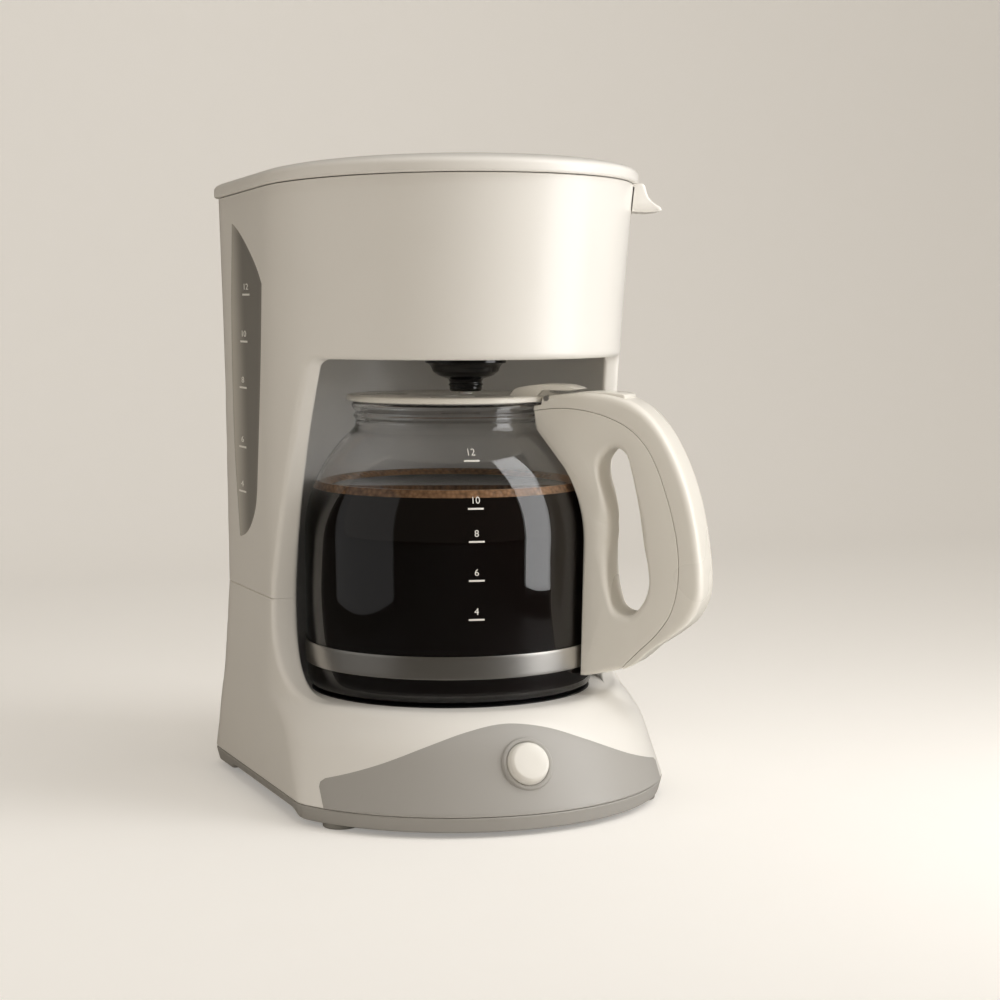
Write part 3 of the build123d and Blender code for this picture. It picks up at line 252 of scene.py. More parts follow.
def finished(bm, name, finish, body, *nodes, slot=None, sharp=35.0, merge=0.02):
    """Close the mesh, make it an object in the row frame, tie it to its CAD body, and hide the CAD nodes that it
    stands in for.
    """
    bmesh.ops.remove_doubles(bm, verts=bm.verts, dist=merge)
    bmesh.ops.dissolve_degenerate(bm, dist=merge / 4, edges=bm.edges)
    bmesh.ops.recalc_face_normals(bm, faces=bm.faces)
    bmesh.ops.transform(bm, matrix=ROW_FRAME, verts=bm.verts)
    mesh = bpy.data.meshes.new(name)
    bm.to_mesh(mesh)
    bm.free()
    mesh.shade_smooth()
    mesh.set_sharp_from_angle(angle=radians(sharp))
    mesh.materials.append(finishes[finish])
    piece = bpy.data.objects.new(name, mesh)
    bpy.context.scene.collection.objects.link(piece)
    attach(piece, body)
    if nodes:
        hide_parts(*nodes)
    return piece


def add(material, kind, inputs=None, **settings):
    """Add a shader node with its settings; an input is a value or the output that feeds it."""
    node = material.node_tree.nodes.new(kind)
    for name, value in settings.items():
        setattr(node, name, value)
    for name, value in (inputs or {}).items():
        if isinstance(value, bpy.types.NodeSocket):
            material.node_tree.links.new(value, node.inputs[name])
        else:
            node.inputs[name].default_value = value
    return node


def new_material(name, **inputs):
    """Material whose Principled shader has the given inputs, that shader, and the place on the object."""
    material = bpy.data.materials.new(name)
    material.use_nodes = True
    shader = material.node_tree.nodes["Principled BSDF"]
    for key, value in inputs.items():
        shader.inputs[key.replace("_", " ")].default_value = value
    return material, shader, add(material, "ShaderNodeTexCoord").outputs["Object"]


def feed(material, shader, **outputs):
    """Link pattern outputs to the shader's inputs."""
    for key, output in outputs.items():
        material.node_tree.links.new(output, shader.inputs[key.replace("_", " ")])


def per_mm(size):
    """Texture scale that makes a pattern this many millimetres across."""
    return 1 / (size * MM)


def tint(colour, share):
    """RGBA of a linear colour, made lighter or darker by a share."""
    return (*(min(c * share, 1.0) for c in colour), 1.0)


def noise(material, place, size, detail):
    """Cloudy pattern this many millimetres across."""
    pattern = add(material, "ShaderNodeTexNoise", {"Vector": place, "Scale": per_mm(size), "Detail": detail})
    return pattern.outputs["Fac"]


def ramp(material, share, colour, first, last):
    """Colour that goes from one tint to another along a pattern."""
    node = add(material, "ShaderNodeValToRGB", {"Fac": share})
    node.color_ramp.elements[0].color = tint(colour, first)
    node.color_ramp.elements[1].color = tint(colour, last)
    return node.outputs["Color"]


def spread(material, share, **limits):
    """Pattern carried over to other limits."""
    named = {key.replace("_", " "): value for key, value in limits.items()}
    return add(material, "ShaderNodeMapRange", {"Value": share, **named}).outputs["Result"]


def relief(material, height, strength, depth, **settings):
    """Fine relief from a pattern, this many millimetres deep."""
    node = add(
        material, "ShaderNodeBump", {"Height": height, "Strength": strength, "Distance": depth * MM}, **settings,
    )
    return node.outputs["Normal"]


def moulded(name, colour, roughness, grain, depth, ior=1.53, **inputs):
    """Moulded plastic: a faint cloud in the colour, an uneven sheen and a fine grain from the tool."""
    material, shader, place = new_material(name, IOR=ior, **inputs)
    cloud = noise(material, place, 70, 2.0)
    feed(
        material, shader, Base_Color=ramp(material, cloud, colour, 0.975, 1.025),
        Roughness=spread(material, cloud, To_Min=roughness * 0.9, To_Max=roughness * 1.1),
        Normal=relief(material, noise(material, place, grain, 3.0), depth, 0.05),
    )
    return material


def metal(name, colour, roughness, stretch, grain, depth):
    """Metal with drawn or cast marks; stretch scales the grain along x, y and z."""
    material, shader, place = new_material(name, Metallic=1.0, Base_Color=tint(colour, 1.0))
    drawn = add(material, "ShaderNodeMapping", {"Vector": place, "Scale": stretch})
    marks = noise(material, drawn.outputs["Vector"], grain, 4.0)
    feed(
        material, shader, Normal=relief(material, marks, depth, 0.02),
        Roughness=spread(material, marks, To_Min=roughness * 0.8, To_Max=roughness * 1.25),
    )
    return material


def make_materials(colours):
    """All finishes, by the record's slot names and a few of the looks' own."""
    made = {}
    # Injection-moulded ABS, semi-gloss: broad soft highlights and a warm off-white body colour.
    # The grain is coarser than the real tool texture, which is about 0.2 mm.
    made["white_abs"] = moulded("Injection moulded ABS off-white", colours.body, 0.3, 1.2, 0.1)
    # Injection-moulded ABS with a spark-eroded texture: a satin grey that spreads its highlights.
    made["grey_abs"] = moulded("Spark textured ABS satin grey", colours.panel, 0.42, 0.9, 0.25)
    # Push button cap, polished in the tool: brighter and glossier than the body.
    made["button_abs"] = moulded("Polished ABS button white", colours.button, 0.24, 1.2, 0.06)
    # Handle mouldings, the same polymer as the body in a slightly creamier batch.
    made["handle_abs"] = moulded("Injection moulded ABS handle", colours.handle, 0.28, 1.2, 0.08)
    # Polypropylene moulded in a polished tool: near black with a clear reflection.
    made["black_plastic"] = moulded("Polished black polypropylene", colours.black, 0.16, 1.5, 0.06, ior=1.49)
    # Unpigmented polypropylene: milky, waxy, slightly lit from within.
    made["natural_plastic"] = moulded(
        "Natural polypropylene", colours.natural, 0.38, 1.5, 0.1, ior=1.49, Subsurface_Weight=0.2,
        Subsurface_Scale=3 * MM,
    )
    # Moulded silicone rubber: soft grey-white and matt.
    made["silicone"] = moulded("Moulded silicone", colours.silicone, 0.55, 1.0, 0.15, ior=1.41)
    # Thermoplastic rubber feet and bush: grey, matt, no clear highlight.
    made["rubber"] = moulded("Moulded rubber grey", colours.rubber, 0.6, 0.8, 0.25, ior=1.52)
    # Printed ink, matt and opaque.
    made["ink"] = moulded("Screen printed ink white", colours.ink, 0.5, 0.6, 0.1, ior=1.5)
    # Non-stick coating sprayed on pressed steel: dark, with a fine orange-peel sparkle.
    made["coated_steel"] = moulded("Sprayed non-stick coating on steel", colours.plate, 0.4, 0.7, 0.12, ior=1.5)
    # Stainless strip, brushed round its length: streaks stretched along the band.
    made["bright_steel"] = metal("Brushed stainless strip", colours.steel, 0.34, (0.05, 0.05, 1.0), 0.4, 0.3)
    # Zinc plated steel: fine even sparkle.
    made["plated_steel"] = metal("Zinc plated steel", colours.steel, 0.32, (1.0, 1.0, 1.0), 1.0, 0.2)
    # Die-cast aluminium: pale, blurred reflections and a sandy skin.
    made["cast_aluminium"] = metal("Die cast aluminium", colours.aluminium, 0.45, (1.0, 1.0, 1.0), 0.8, 0.5)
    made["window_plastic"] = window_plastic(colours)
    made["glass"] = blown_glass()
    made["coffee"] = brewed_coffee(colours)
    made["foam"] = coffee_foam(colours)
    return made


def window_plastic(colours):
    """Smoked SAN sheet: glossy, paler downwards, and with a painted recess shade at its front that fades out paler
    to the rear.
    """
    material, shader, place = new_material("Moulded smoked SAN window", IOR=1.57, Roughness=0.18)
    along = add(material, "ShaderNodeSeparateXYZ", {"Vector": place})
    rise = spread(material, along.outputs["Z"], From_Min=126 * MM, From_Max=287 * MM)
    # Painted shade of the window's recess: darker at its front edge, fading out paler towards the rear.
    recess_shade_fade = add(material, "ShaderNodeMapRange", {
        "Value": along.outputs["Y"], "From Min": 44 * MM, "From Max": 72 * MM,
    }, interpolation_type="SMOOTHSTEP")
    paler = add(material, "ShaderNodeMix", {
        "Factor": recess_shade_fade.outputs["Result"], "A": ramp(material, rise, colours.window, 0.95, 0.85),
        "B": tint(colours.window, 2.3),
    }, data_type="RGBA")
    wave = relief(material, noise(material, place, 25, 1.0), 0.15, 0.3)
    feed(material, shader, Base_Color=paler.outputs["Result"], Normal=wave)
    return material


def blown_glass():
    """Machine-blown borosilicate: clear, sharp reflections, with a slow waviness from the mould."""
    material, shader, place = new_material(
        "Blown borosilicate glass", IOR=1.47, Roughness=0.0, Transmission_Weight=1.0,
        Base_Color=(1.0, 1.0, 1.0, 1.0),
    )
    feed(material, shader, Normal=relief(material, noise(material, place, 45, 0.0), 0.1, 0.4))
    return material


def brewed_coffee(colours):
    """Black coffee: nearly no light comes back out of it, and the wet face mirrors the room."""
    material, shader, place = new_material("Brewed coffee", IOR=1.34, Roughness=0.03)
    feed(material, shader, Base_Color=ramp(material, noise(material, place, 40, 2.0), colours.coffee, 0.8, 1.3))
    return material


def coffee_foam(colours):
    """Ring of fine bubbles: pale domes with darker walls between them."""
    material, shader, place = new_material("Coffee foam", IOR=1.34, Roughness=0.3)
    bubbles = add(material, "ShaderNodeTexVoronoi", {"Vector": place, "Scale": per_mm(2.2)}).outputs["Distance"]
    feed(
        material, shader, Base_Color=ramp(material, bubbles, colours.foam, 1.15, 0.35),
        Normal=relief(material, bubbles, 0.6, 0.6, invert=True),
    )
    return material


OUTER_ROUND = 3.0
INNER_ROUND = 2.5
DECK_ROUND = 5.0
HEAD_ROUND = 3.5
REAR_COLUMNS = 44
FRONT_COLUMNS = 36
SEAM_INSET = 0.6
SEAM_RISE = 2.0
SEAM_TURN = atan2(sqrt(1 - (SEAM_RISE / FOOT_ARC[2]) ** 2), -SEAM_RISE / FOOT_ARC[2])
# Radius and depth of the round recesses in the deck and in the ceiling.
PLATE_RECESS = (70.4, -2.4)
OUTLET_RECESS = (9.6, 6.0)
# Distance from the wings to the point that the lines of the deck and the ceiling are drawn from.
AHEAD_OF_WINGS = 1.1
Edge = namedtuple("Edge", "skin corner face inner lip wall share wall_turn")


def wing_edge(y, z, turn, inset=0.0):
    """One place along the bay's side edge, from the outer skin round to the bay wall."""
    level = z - OUTER_ROUND * cos(turn)
    curve = plan(round(level, 3), inset)
    length = curve.length_where(1, y + OUTER_ROUND * sin(turn))
    corner = skin_at_y(y, z, inset)
    reach = min(INNER_ROUND, 0.8 * abs(z - DECK), 0.8 * abs(CEILING - z))
    inner = sqrt(BAY_RADIUS**2 - y**2)
    wall_y = y + reach * sin(turn)
    return Edge(
        skin(length, level, inset), corner, (corner[0] - OUTER_ROUND, y, z), (inner, y, z), (inner + reach, y, z),
        (sqrt(BAY_RADIUS**2 - wall_y**2), wall_y, z - reach * cos(turn)), length / curve.total,
        atan2(wall_y, sqrt(BAY_RADIUS**2 - wall_y**2)),
    )


def front_edge(share, level, rise, toward_wing):
    """One place along the front edge of the deck (rise below 0) or of the head (rise above 0)."""
    curve = plan(level)
    corner = skin(share * curve.total, level)
    x_in, y_in = curve.inward(share * curve.total)
    x_in, y_in = mix(x_in, -1.0, toward_wing), mix(y_in, 0.0, toward_wing)
    reach = mix(abs(rise), OUTER_ROUND, toward_wing)
    above = level + reach * (1 if rise > 0 else -1)
    on_skin = skin(share * plan(round(above, 3)).total, above)
    face = (corner[0] + reach * x_in, corner[1] + reach * y_in, level)
    return Edge(on_skin, corner, face, None, None, None, share, None)


def edge_strip(edge):
    """Rounded corner from the outer skin to the bay's face."""
    return [bend(edge.skin, edge.corner, edge.face, i / 6) for i in range(7)]


def face_strip(edge):
    """Bay face and the rounded corner from it to the bay wall."""
    return [edge.face] + [bend(edge.lip, edge.inner, edge.wall, i / 5) for i in range(6)]


def wall_point(turn, z):
    """Point on the bay wall."""
    return (BAY_RADIUS * cos(turn), BAY_RADIUS * sin(turn), z)


def front_edges(level, rise, last_y):
    """Edges from the front's middle to where the wing starts."""
    end = plan(level).length_where(1, last_y) / plan(level).total
    made = []
    for i in range(FRONT_COLUMNS):
        toward = max(0.0, i / FRONT_COLUMNS - 0.7) / 0.3
        made.append(front_edge(end * i / FRONT_COLUMNS, level, rise, toward**2 * (3 - 2 * toward)))
    return made


def shelf(bm, edges, wing_columns, level, centre_y, hole, depth):
    """Flat deck or ceiling, from the bay's edge in to a round recess."""
    rim = [edge.face for edge in edges] + face_strip(wing_columns[0])
    rim += [wall_point(edge.wall_turn, level) for edge in wing_columns[1:]]
    rim += [wall_point(turn, level) for turn in steps(wing_columns[-1].wall_turn, pi / 2, REAR_COLUMNS)[1:]]
    start_y = wing_columns[0].face[1] - AHEAD_OF_WINGS
    ahead = start_y - centre_y
    lines = []
    for x, y, _ in rim:
        angle = atan2(y - start_y, x)
        run = sqrt(hole**2 - (ahead * cos(angle)) ** 2) - ahead * sin(angle)
        ring = (run * cos(angle), start_y + run * sin(angle))
        lines.append([
            (x, y, level), (*between((x, y), ring, 0.5), level), (*ring, level), (*ring, level + depth),
            (0.0, centre_y, level + depth),
        ])
    net(bm, lines)


def skin_columns(bm, fronts, columns, column):
    """Outer skin below or above the bay, from the front's middle round to the rear's."""
    corner = columns[-1]
    net(bm, [column(e.share, e.skin[2]) for e in fronts + columns])
    net(bm, [column(share, corner.skin[2]) for share in steps(corner.share, 1.0, REAR_COLUMNS)])


def bay_nets(bm, fronts, columns, rows, level):
    """Rounded edges and faces of the bay, and its wall."""
    corner = columns[-1]
    net(bm, [edge_strip(e) for e in fronts + columns + rows[1:]])
    net(bm, [face_strip(e) for e in columns + rows[1:]])
    net(bm, [steps_between(wall_point(e.wall_turn, level), e.wall, 4) for e in columns])
    net(bm, [
        steps_between(wall_point(turn, level), wall_point(turn, corner.wall[2]), 4)
        for turn in steps(corner.wall_turn, pi / 2, REAR_COLUMNS)
    ])
    net(bm, [[wall_point(turn, e.wall[2]) for turn in steps(e.wall_turn, pi / 2, REAR_COLUMNS)] for e in rows])


def steps_between(a, b, count):
    """Even run of points from a to b."""
    return [between(a, b, i / count) for i in range(count + 1)]


def skin_rows(bm, wing_rows, insets):
    """Outer skin along the wing rows, from the wing round to the middle of the back."""
    net(bm, [
        [
            skin(share * plan(round(e.skin[2], 3), inset).total, e.skin[2], inset)
            for share in steps(e.share, 1.0, REAR_COLUMNS)
        ]
        for e, inset in zip(wing_rows, insets)
    ])


def mirrored(bm):
    """Left half from the right half."""
    bmesh.ops.remove_doubles(bm, verts=bm.verts, dist=0.02)
    geometry = bm.verts[:] + bm.edges[:] + bm.faces[:]
    bmesh.ops.mirror(bm, geom=geometry, matrix=Matrix.Identity(4), merge_dist=0.02, axis="X")
    bmesh.ops.remove_doubles(bm, verts=bm.verts, dist=0.02)
    bmesh.ops.holes_fill(bm, edges=[edge for edge in bm.edges if edge.is_boundary])


def model_lower_housing():
    """Base and column foot: flared front, deck with the plate's recess, and the lower part of the bay."""
    bm = bmesh.new()
    fronts = front_edges(DECK, -DECK_ROUND, FOOT_ARC[0])
    columns = [wing_edge(*bay_edge(t), t) for t in steps(0, pi / 4, 12)]
    rows = [wing_edge(*bay_edge(t), t) for t in steps(pi / 4, SEAM_TURN - 0.01, 14)]
    end_y = bay_edge(SEAM_TURN)[0]
    rows += [wing_edge(end_y, HOUSING_SEAM - 0.4, pi / 2), wing_edge(end_y, HOUSING_SEAM, pi / 2, SEAM_INSET)]

    def column(share, top):
        levels = [(PAN_TOP + 0.2, 0.6)] + [(z, 0.0) for z in steps(PAN_TOP + 0.7, top, 18)]
        return [skin(share * plan(round(z, 3), inset).total, z, inset) for z, inset in levels]

    skin_columns(bm, fronts, columns, column)
    skin_rows(bm, rows, [0.0] * (len(rows) - 1) + [SEAM_INSET])
    bay_nets(bm, fronts, columns, rows, DECK)
    shelf(bm, fronts, columns, DECK, 0.0, *PLATE_RECESS)
    mirrored(bm)
    return finished(bm, "lower_housing_shell", "white_abs", "machine", "lower_housing")


def model_upper_housing():
    """Head and rear column: upper part of the bay, ceiling over the carafe and the rim under the lid."""
    bm = bmesh.new()
    fronts = front_edges(CEILING, HEAD_ROUND, TOP_ARC[0])
    columns = [wing_edge(*bay_edge(t), t) for t in steps(pi, 0.75 * pi, 8)]
    foot_y = bay_edge(SEAM_TURN)[0]
    rows = [
        wing_edge(foot_y, HOUSING_SEAM + 0.1, pi / 2, SEAM_INSET), wing_edge(foot_y, HOUSING_SEAM + 0.5, pi / 2),
    ]
    rows += [wing_edge(*bay_edge(t), t) for t in steps(SEAM_TURN + 0.03, EDGE_LEAN, 5)]
    low, high = bay_edge(EDGE_LEAN), (
        TOP_ARC[0] + TOP_ARC[2] * sin(EDGE_LEAN), TOP_ARC[1] - TOP_ARC[2] * cos(EDGE_LEAN))
    rows += [wing_edge(*point, EDGE_LEAN) for point in steps_between(low, high, 14)[1:]]
    rows += [wing_edge(*bay_edge(t), t) for t in steps(EDGE_LEAN + 0.06, 0.75 * pi, 5)]

    def column(share, bottom):
        level = 304.0
        for _ in range(3):
            level = seam_height(skin(share * plan(round(level, 3)).total, level)[1])
        levels = [(z, 0.0) for z in steps(bottom, level - 0.8, 14)]
        levels += [(level - 0.2, 0.25), (level, 0.8), (level, 2.5), (288.0, 2.5)]
        return [skin(share * plan(round(z, 3), inset).total, z, inset) for z, inset in levels]

    skin_columns(bm, fronts, columns, column)
    skin_rows(bm, rows, [SEAM_INSET] + [0.0] * (len(rows) - 1))
    bay_nets(bm, fronts, columns, rows[::-1], CEILING)
    shelf(bm, fronts, columns, CEILING, BASKET_Y, *OUTLET_RECESS)
    mirrored(bm)
    for side in (-1, 1):
        hinge_ear(bm, side)
    return finished(bm, "upper_housing_shell", "white_abs", "machine", "upper_housing")


def prism(bm, profile, low, high, place, edge=0.5):
    """Profile drawn in two directions and drawn out along a third, with its edges eased."""
    verts = [bm.verts.new(place(a, b, low)) for a, b in profile]
    face = bm.faces.new(verts)
    drawn = bmesh.ops.extrude_face_region(bm, geom=[face], use_keep_orig=True)
    top = [item for item in drawn["geom"] if isinstance(item, bmesh.types.BMVert)]
    shift = Vector(place(*profile[0], high)) - Vector(place(*profile[0], low))
    bmesh.ops.translate(bm, verts=top, vec=shift)
    if edge:
        ends = set(verts) | set(top)
        rims = [e for e in bm.edges if e.verts[0] in ends and e.verts[1] in ends and (
            (e.verts[0] in verts) == (e.verts[1] in verts))]
        bmesh.ops.bevel(
            bm, geom=rims, offset=edge, affect="EDGES", segments=2, profile=0.5, material=-1, clamp_overlap=True,
        )


def hinge_ear(bm, side):
    """Ear on the rear wall that carries one hinge pin of the lid."""
    y, z, radius = 113.8, 303.6, 3.6
    profile = [(y + radius * sin(a), z + radius * cos(a)) for a in steps(0, pi * 0.75, 12)]
    profile += [(107.0, 294.0), (106.0, 300.0), (109.0, 303.0)]
    prism(bm, profile, side * 24.5, side * 32.5, lambda a, b, c: (c, a, b))


def flow(points, per_span=8, closed=False):
    """Smooth run through points, which it passes in order."""
    last = len(points)
    made = []
    for i in range(last if closed else last - 1):
        if closed:
            a, b, c, d = (points[(i + k) % last] for k in (-1, 0, 1, 2))
        else:
            a, b, c, d = (points[min(max(i + k, 0), last - 1)] for k in (-1, 0, 1, 2))
        for step in range(per_span):
            t = step / per_span
            made.append(tuple(
                0.5 * (2 * q + (r - p) * t + (2 * p - 5 * q + 4 * r - s) * t**2 + (3 * q - p - 3 * r + s) * t**3)
                for p, q, r, s in zip(a, b, c, d)
            ))
    return made if closed else made + [tuple(points[-1])]


def graph(run, value, across=0, up=1):
    """Height of a run of points at a value along it."""
    for a, b in zip(run, run[1:]):
        low, high = sorted((a[across], b[across]))
        if low <= value <= high and high > low:
            return mix(a[up], b[up], (value - a[across]) / (b[across] - a[across]))
    return run[0][up] if abs(value - run[0][across]) < abs(value - run[-1][across]) else run[-1][up]


def plate(bm, columns, rows, point, proud, depth):
    """Thin plate that follows a surface: a proud face with an eased border, and a back under it."""
    border = lambda i, j: i in (0, columns) or j in (0, rows)
    before = set(bm.edges)
    patch(bm, columns, rows, lambda i, j: point(i, j, proud * 0.25 if border(i, j) else proud))
    patch(bm, columns, rows, lambda i, j: point(i, j, -depth))
    bmesh.ops.bridge_loops(bm, edges=[edge for edge in bm.edges if edge.is_boundary and edge not in before])


def uneven(count, ease):
    """Shares from 0 to 1 whose first and last steps are small, for an eased border."""
    inner = steps(ease, 1 - ease, count - 2)
    return [0.0] + inner + [1.0]


LID_SECTION = Section(*(value + 2.0 for value in TOP_SECTION))
LID_DOME = (
    (5.7, 0.994), (6.5, 0.985), (7.5, 0.962), (8.8, 0.91), (10.3, 0.8), (12.1, 0.55), (13.0, 0.2),
    (13.1, 0.004),
)
LID_RIM = (
    (3.4, 0.004), (3.4, 0.5), (3.4, 0.955), (0.6, 0.962), (0.35, 0.966), (0.3, 0.972), (0.3, 0.988), (0.45, 0.995),
    (0.9, 0.999), (1.6, 1.0), (3.6, 1.0), (4.6, 0.9995), (5.2, 0.997),
)
# Outside of the lift tab from the lid's rim to its underside, as (reach from the axis, z).
TAB_OUTSIDE = (
    (95.6, 305.2), (96.6, 304.3), (97.1, 302.8), (97.5, 300.8), (98.3, 298.8), (99.9, 296.8), (102.2, 295.1),
    (104.2, 293.9), (105.0, 292.9), (104.8, 292.1), (103.9, 291.7), (101.0, 291.4), (98.0, 291.2),
)
TAB_TURN = radians(-21.0)
TAB_HALF = 13.6


def tab_root(side, z):
    """Reach of the housing behind the lift tab, at a place across the tab."""
    curve = plan(round(z, 3))
    places = [curve.at(share * curve.total) for share in steps(0.2, 0.7, 60)]
    run = [(y * cos(TAB_TURN) - x * sin(TAB_TURN), x * cos(TAB_TURN) + y * sin(TAB_TURN)) for x, y in places]
    return graph(run, side, 0, 1)


def lift_tab(bm):
    """Tab that curls out from the lid's rim, close to the housing all along its back."""
    lines = []
    for side, ease in ((-1.0, 1.4), (-0.98, 0.5), (-0.94, 0.0)) + tuple((s, 0.0) for s in steps(-0.8, 0.8, 12)) + (
            (0.94, 0.0), (0.98, 0.5), (1.0, 1.4)):
        across = side * TAB_HALF
        outside = [(reach - ease, z + (ease if z < 292.0 else 0.0)) for reach, z in TAB_OUTSIDE]
        low = outside[-1][1]
        inside = [(tab_root(across, z) + 0.7, z) for z in steps(low + 0.3, 303.4, 8)]
        loop = outside + inside + [(inside[-1][0] - 2.0, 305.0)]
        lines.append([
            (reach * cos(TAB_TURN) - across * sin(TAB_TURN), reach * sin(TAB_TURN) + across * cos(TAB_TURN), z)
            for reach, z in loop + loop[:1]
        ])
    before = set(bm.verts)
    net(bm, lines)
    made = [vert for vert in bm.verts if vert not in before]
    bmesh.ops.remove_doubles(bm, verts=made, dist=0.02)
    ends = {edge for vert in made if vert.is_valid for edge in vert.link_edges if edge.is_boundary}
    bmesh.ops.holes_fill(bm, edges=list(ends))


def model_lid():
    """Domed lid with its rolled rim, the lift tab at its right front and the knuckle at the back."""
    bm = bmesh.new()
    profile = list(LID_RIM) + flow(LID_DOME, 8)
    lines = []
    for height, size in profile:
        curve = PlanCurve(section_points(Section(*(value * size for value in LID_SECTION))))
        ring = [curve.at(share * curve.total) for share in steps(0, 1, 96)]
        lines.append([(x, y, seam_height(y) + height) for x, y in ring])
    net(bm, lines)
    mirrored(bm)
    lift_tab(bm)
    y, z, radius = 113.8, 303.6, 3.55
    knuckle = [(y + radius * sin(a), z + radius * cos(a)) for a in steps(0, pi, 14)]
    knuckle += [(108.6, z - 2.1), (108.6, z + 2.1)]
    prism(bm, knuckle, -24.0, 24.0, lambda a, b, c: (c, a, b), 0.4)
    return finished(bm, "lid_shell", "white_abs", "lid", "lid")


def pan_bottom(y):
    """Height of the pan's underside, which arches up between the feet."""
    rise = min(max((y + 46) / 10, 0.0), 1.0) * min(max((78 - y) / 10, 0.0), 1.0)
    return mix(2.6, 5.5, rise * rise * (3 - 2 * rise))


def model_base_pan():
    """Tray under the base, drawn in towards its foot and arched between the feet."""
    bm = bmesh.new()
    lines = []
    for share in steps(0, 1, 120):
        foot = pan_bottom(PlanCurve(section_points(BASE_SECTION)).at(share * plan(PAN_TOP).total)[1])
        levels = [(9.9, 0.6), (9.4, 0.1)] + [(z, 0.1 + (9.4 - z) * 0.27) for z in steps(8.4, foot + 1.4, 5)]
        draft = levels[-1][1]
        levels += [(foot + 0.5, draft + 0.35), (foot + 0.1, draft + 1.0), (foot, draft + 2.0)]
        column = []
        for z, inset in levels:
            curve = PlanCurve(section_points(BASE_SECTION, inset))
            column.append((*curve.at(share * curve.total), z))
        x, y, z = column[-1]
        column += [(x * keep, y, z) for keep in (0.5, 0.0)]
        lines.append(column)
    net(bm, lines)
    mirrored(bm)
    return finished(bm, "base_tray", "grey_abs", "machine", "base_pan")


def model_feet():
    """Four rounded rubber feet."""
    bm = bmesh.new()
    profile = rounded([(0.0, 0.02), (8.5, 0.02), (8.5, 3.9), (0.0, 3.9)], 1.0)
    for x in (-78.0, 78.0):
        for y in (-58.0, 86.0):
            turned(bm, profile, 40, (x, y))
    return finished(bm, "rubber_feet", "rubber", "machine", "feet")


def outside(axis, value, z, lift):
    """Plan point this far over the skin, where the plan reaches a value along an axis."""
    curve = plan(round(z, 3))
    length = curve.length_where(axis, value)
    (px, py), (nx, ny) = curve.at(length), curve.inward(length)
    return px - nx * lift, py - ny * lift


def on_front(x, z, lift):
    """Point over the body's front skin at an x."""
    px, py = outside(0, abs(x), z, lift)
    return (px if x >= 0 else -px, py, z)


def on_left(y, z, lift):
    """Point over the body's left skin at a y."""
    px, py = outside(1, y, z, lift)
    return (-px, py, z)


WAVE = flow([
    (-88.0, 22.5), (-66.0, 31.5), (-45.0, 40.3), (-25.0, 46.6), (-6.0, 49.3), (14.0, 46.4), (35.0, 39.0),
    (62.0, 28.2), (88.0, 19.5),
])


def panel_top(x):
    """Height of the panel's wave-shaped top edge, turned down at its ends."""
    end = max(abs(x) - 85.0, 0.0)
    return graph(WAVE, x) - (3 - sqrt(max(9 - end**2, 0.0)))


def model_control_panel():
    """Grey front panel with the wave-shaped top edge."""
    bm = bmesh.new()
    columns, rows = 96, 22
    across, up = uneven(columns, 0.004), uneven(rows, 0.02)

    def point(i, j, lift):
        x = mix(-88.0, 88.0, across[i])
        return on_front(x, mix(PAN_TOP + 0.5, panel_top(x), up[j]), lift)

    plate(bm, columns, rows, point, 0.3, 1.4)
    return finished(bm, "front_panel", "grey_abs", "machine", "control_panel")


BUTTON_FRAME = Matrix.Translation((0.0, -100.4, 31.8)) @ Matrix.Rotation(radians(90 - 25.9), 4, "X")


def model_button():
    """Push button with a dished crown and a bevelled edge."""
    bm = bmesh.new()
    profile = rounded([
        (0.0, 5.3), (4.5, 5.25), (8.3, 4.95), (9.4, 3.9), (10.3, 0.6), (10.3, -6.0), (0.0, -6.0),
    ], 0.5)
    turned(bm, profile, 80)
    bmesh.ops.transform(bm, matrix=BUTTON_FRAME, verts=bm.verts)
    return finished(bm, "push_button", "button_abs", "power_button", "power_button", slot="white_abs")


def model_bezel():
    """Ring round the push button."""
    bm = bmesh.new()
    corners = [(10.55, -4.0), (10.55, 0.9), (11.2, 1.15), (12.2, 1.1), (12.85, 0.2), (12.85, -4.0), (10.55, -4.0)]
    turned(bm, rounded(corners, 0.3), 80)
    bmesh.ops.transform(bm, matrix=BUTTON_FRAME, verts=bm.verts)
    return finished(bm, "button_ring", "grey_abs", "machine", "button_bezel")


WINDOW_FRONT = flow([
    (66.0, 287.0), (57.0, 283.6), (48.5, 279.4), (40.0, 274.5), (31.0, 268.6), (23.0, 262.3), (17.0, 256.0),
])
WINDOW_FRONT += steps_between((17.0, 256.0), (35.0, 152.0), 24)[1:]
WINDOW_FRONT += flow([(35.0, 152.0), (38.4, 143.4), (46.0, 135.0), (56.0, 129.0), (68.0, 126.0)])[1:]
WINDOW_REAR = flow([(66.0, 287.0), (74.3, 246.0), (77.0, 205.0), (75.0, 166.0), (68.0, 126.0)])


def window_row(share):
    """Height of a row of the window, closer together at its ends."""
    return mix(126.3, 286.8, 0.5 - 0.5 * cos(pi * share))


def model_window():
    """Leaf-shaped water window in the left side."""
    bm = bmesh.new()
    columns, rows = 20, 90
    across = uneven(columns, 0.02)

    def point(i, j, lift):
        z = window_row(j / rows)
        y = mix(graph(WINDOW_FRONT, z, 1, 0), graph(WINDOW_REAR, z, 1, 0), across[i])
        return on_left(y, z, lift)

    plate(bm, columns, rows, point, 0.25, 1.6)
    return finished(bm, "water_window_sheet", "window_plastic", "machine", "water_window")


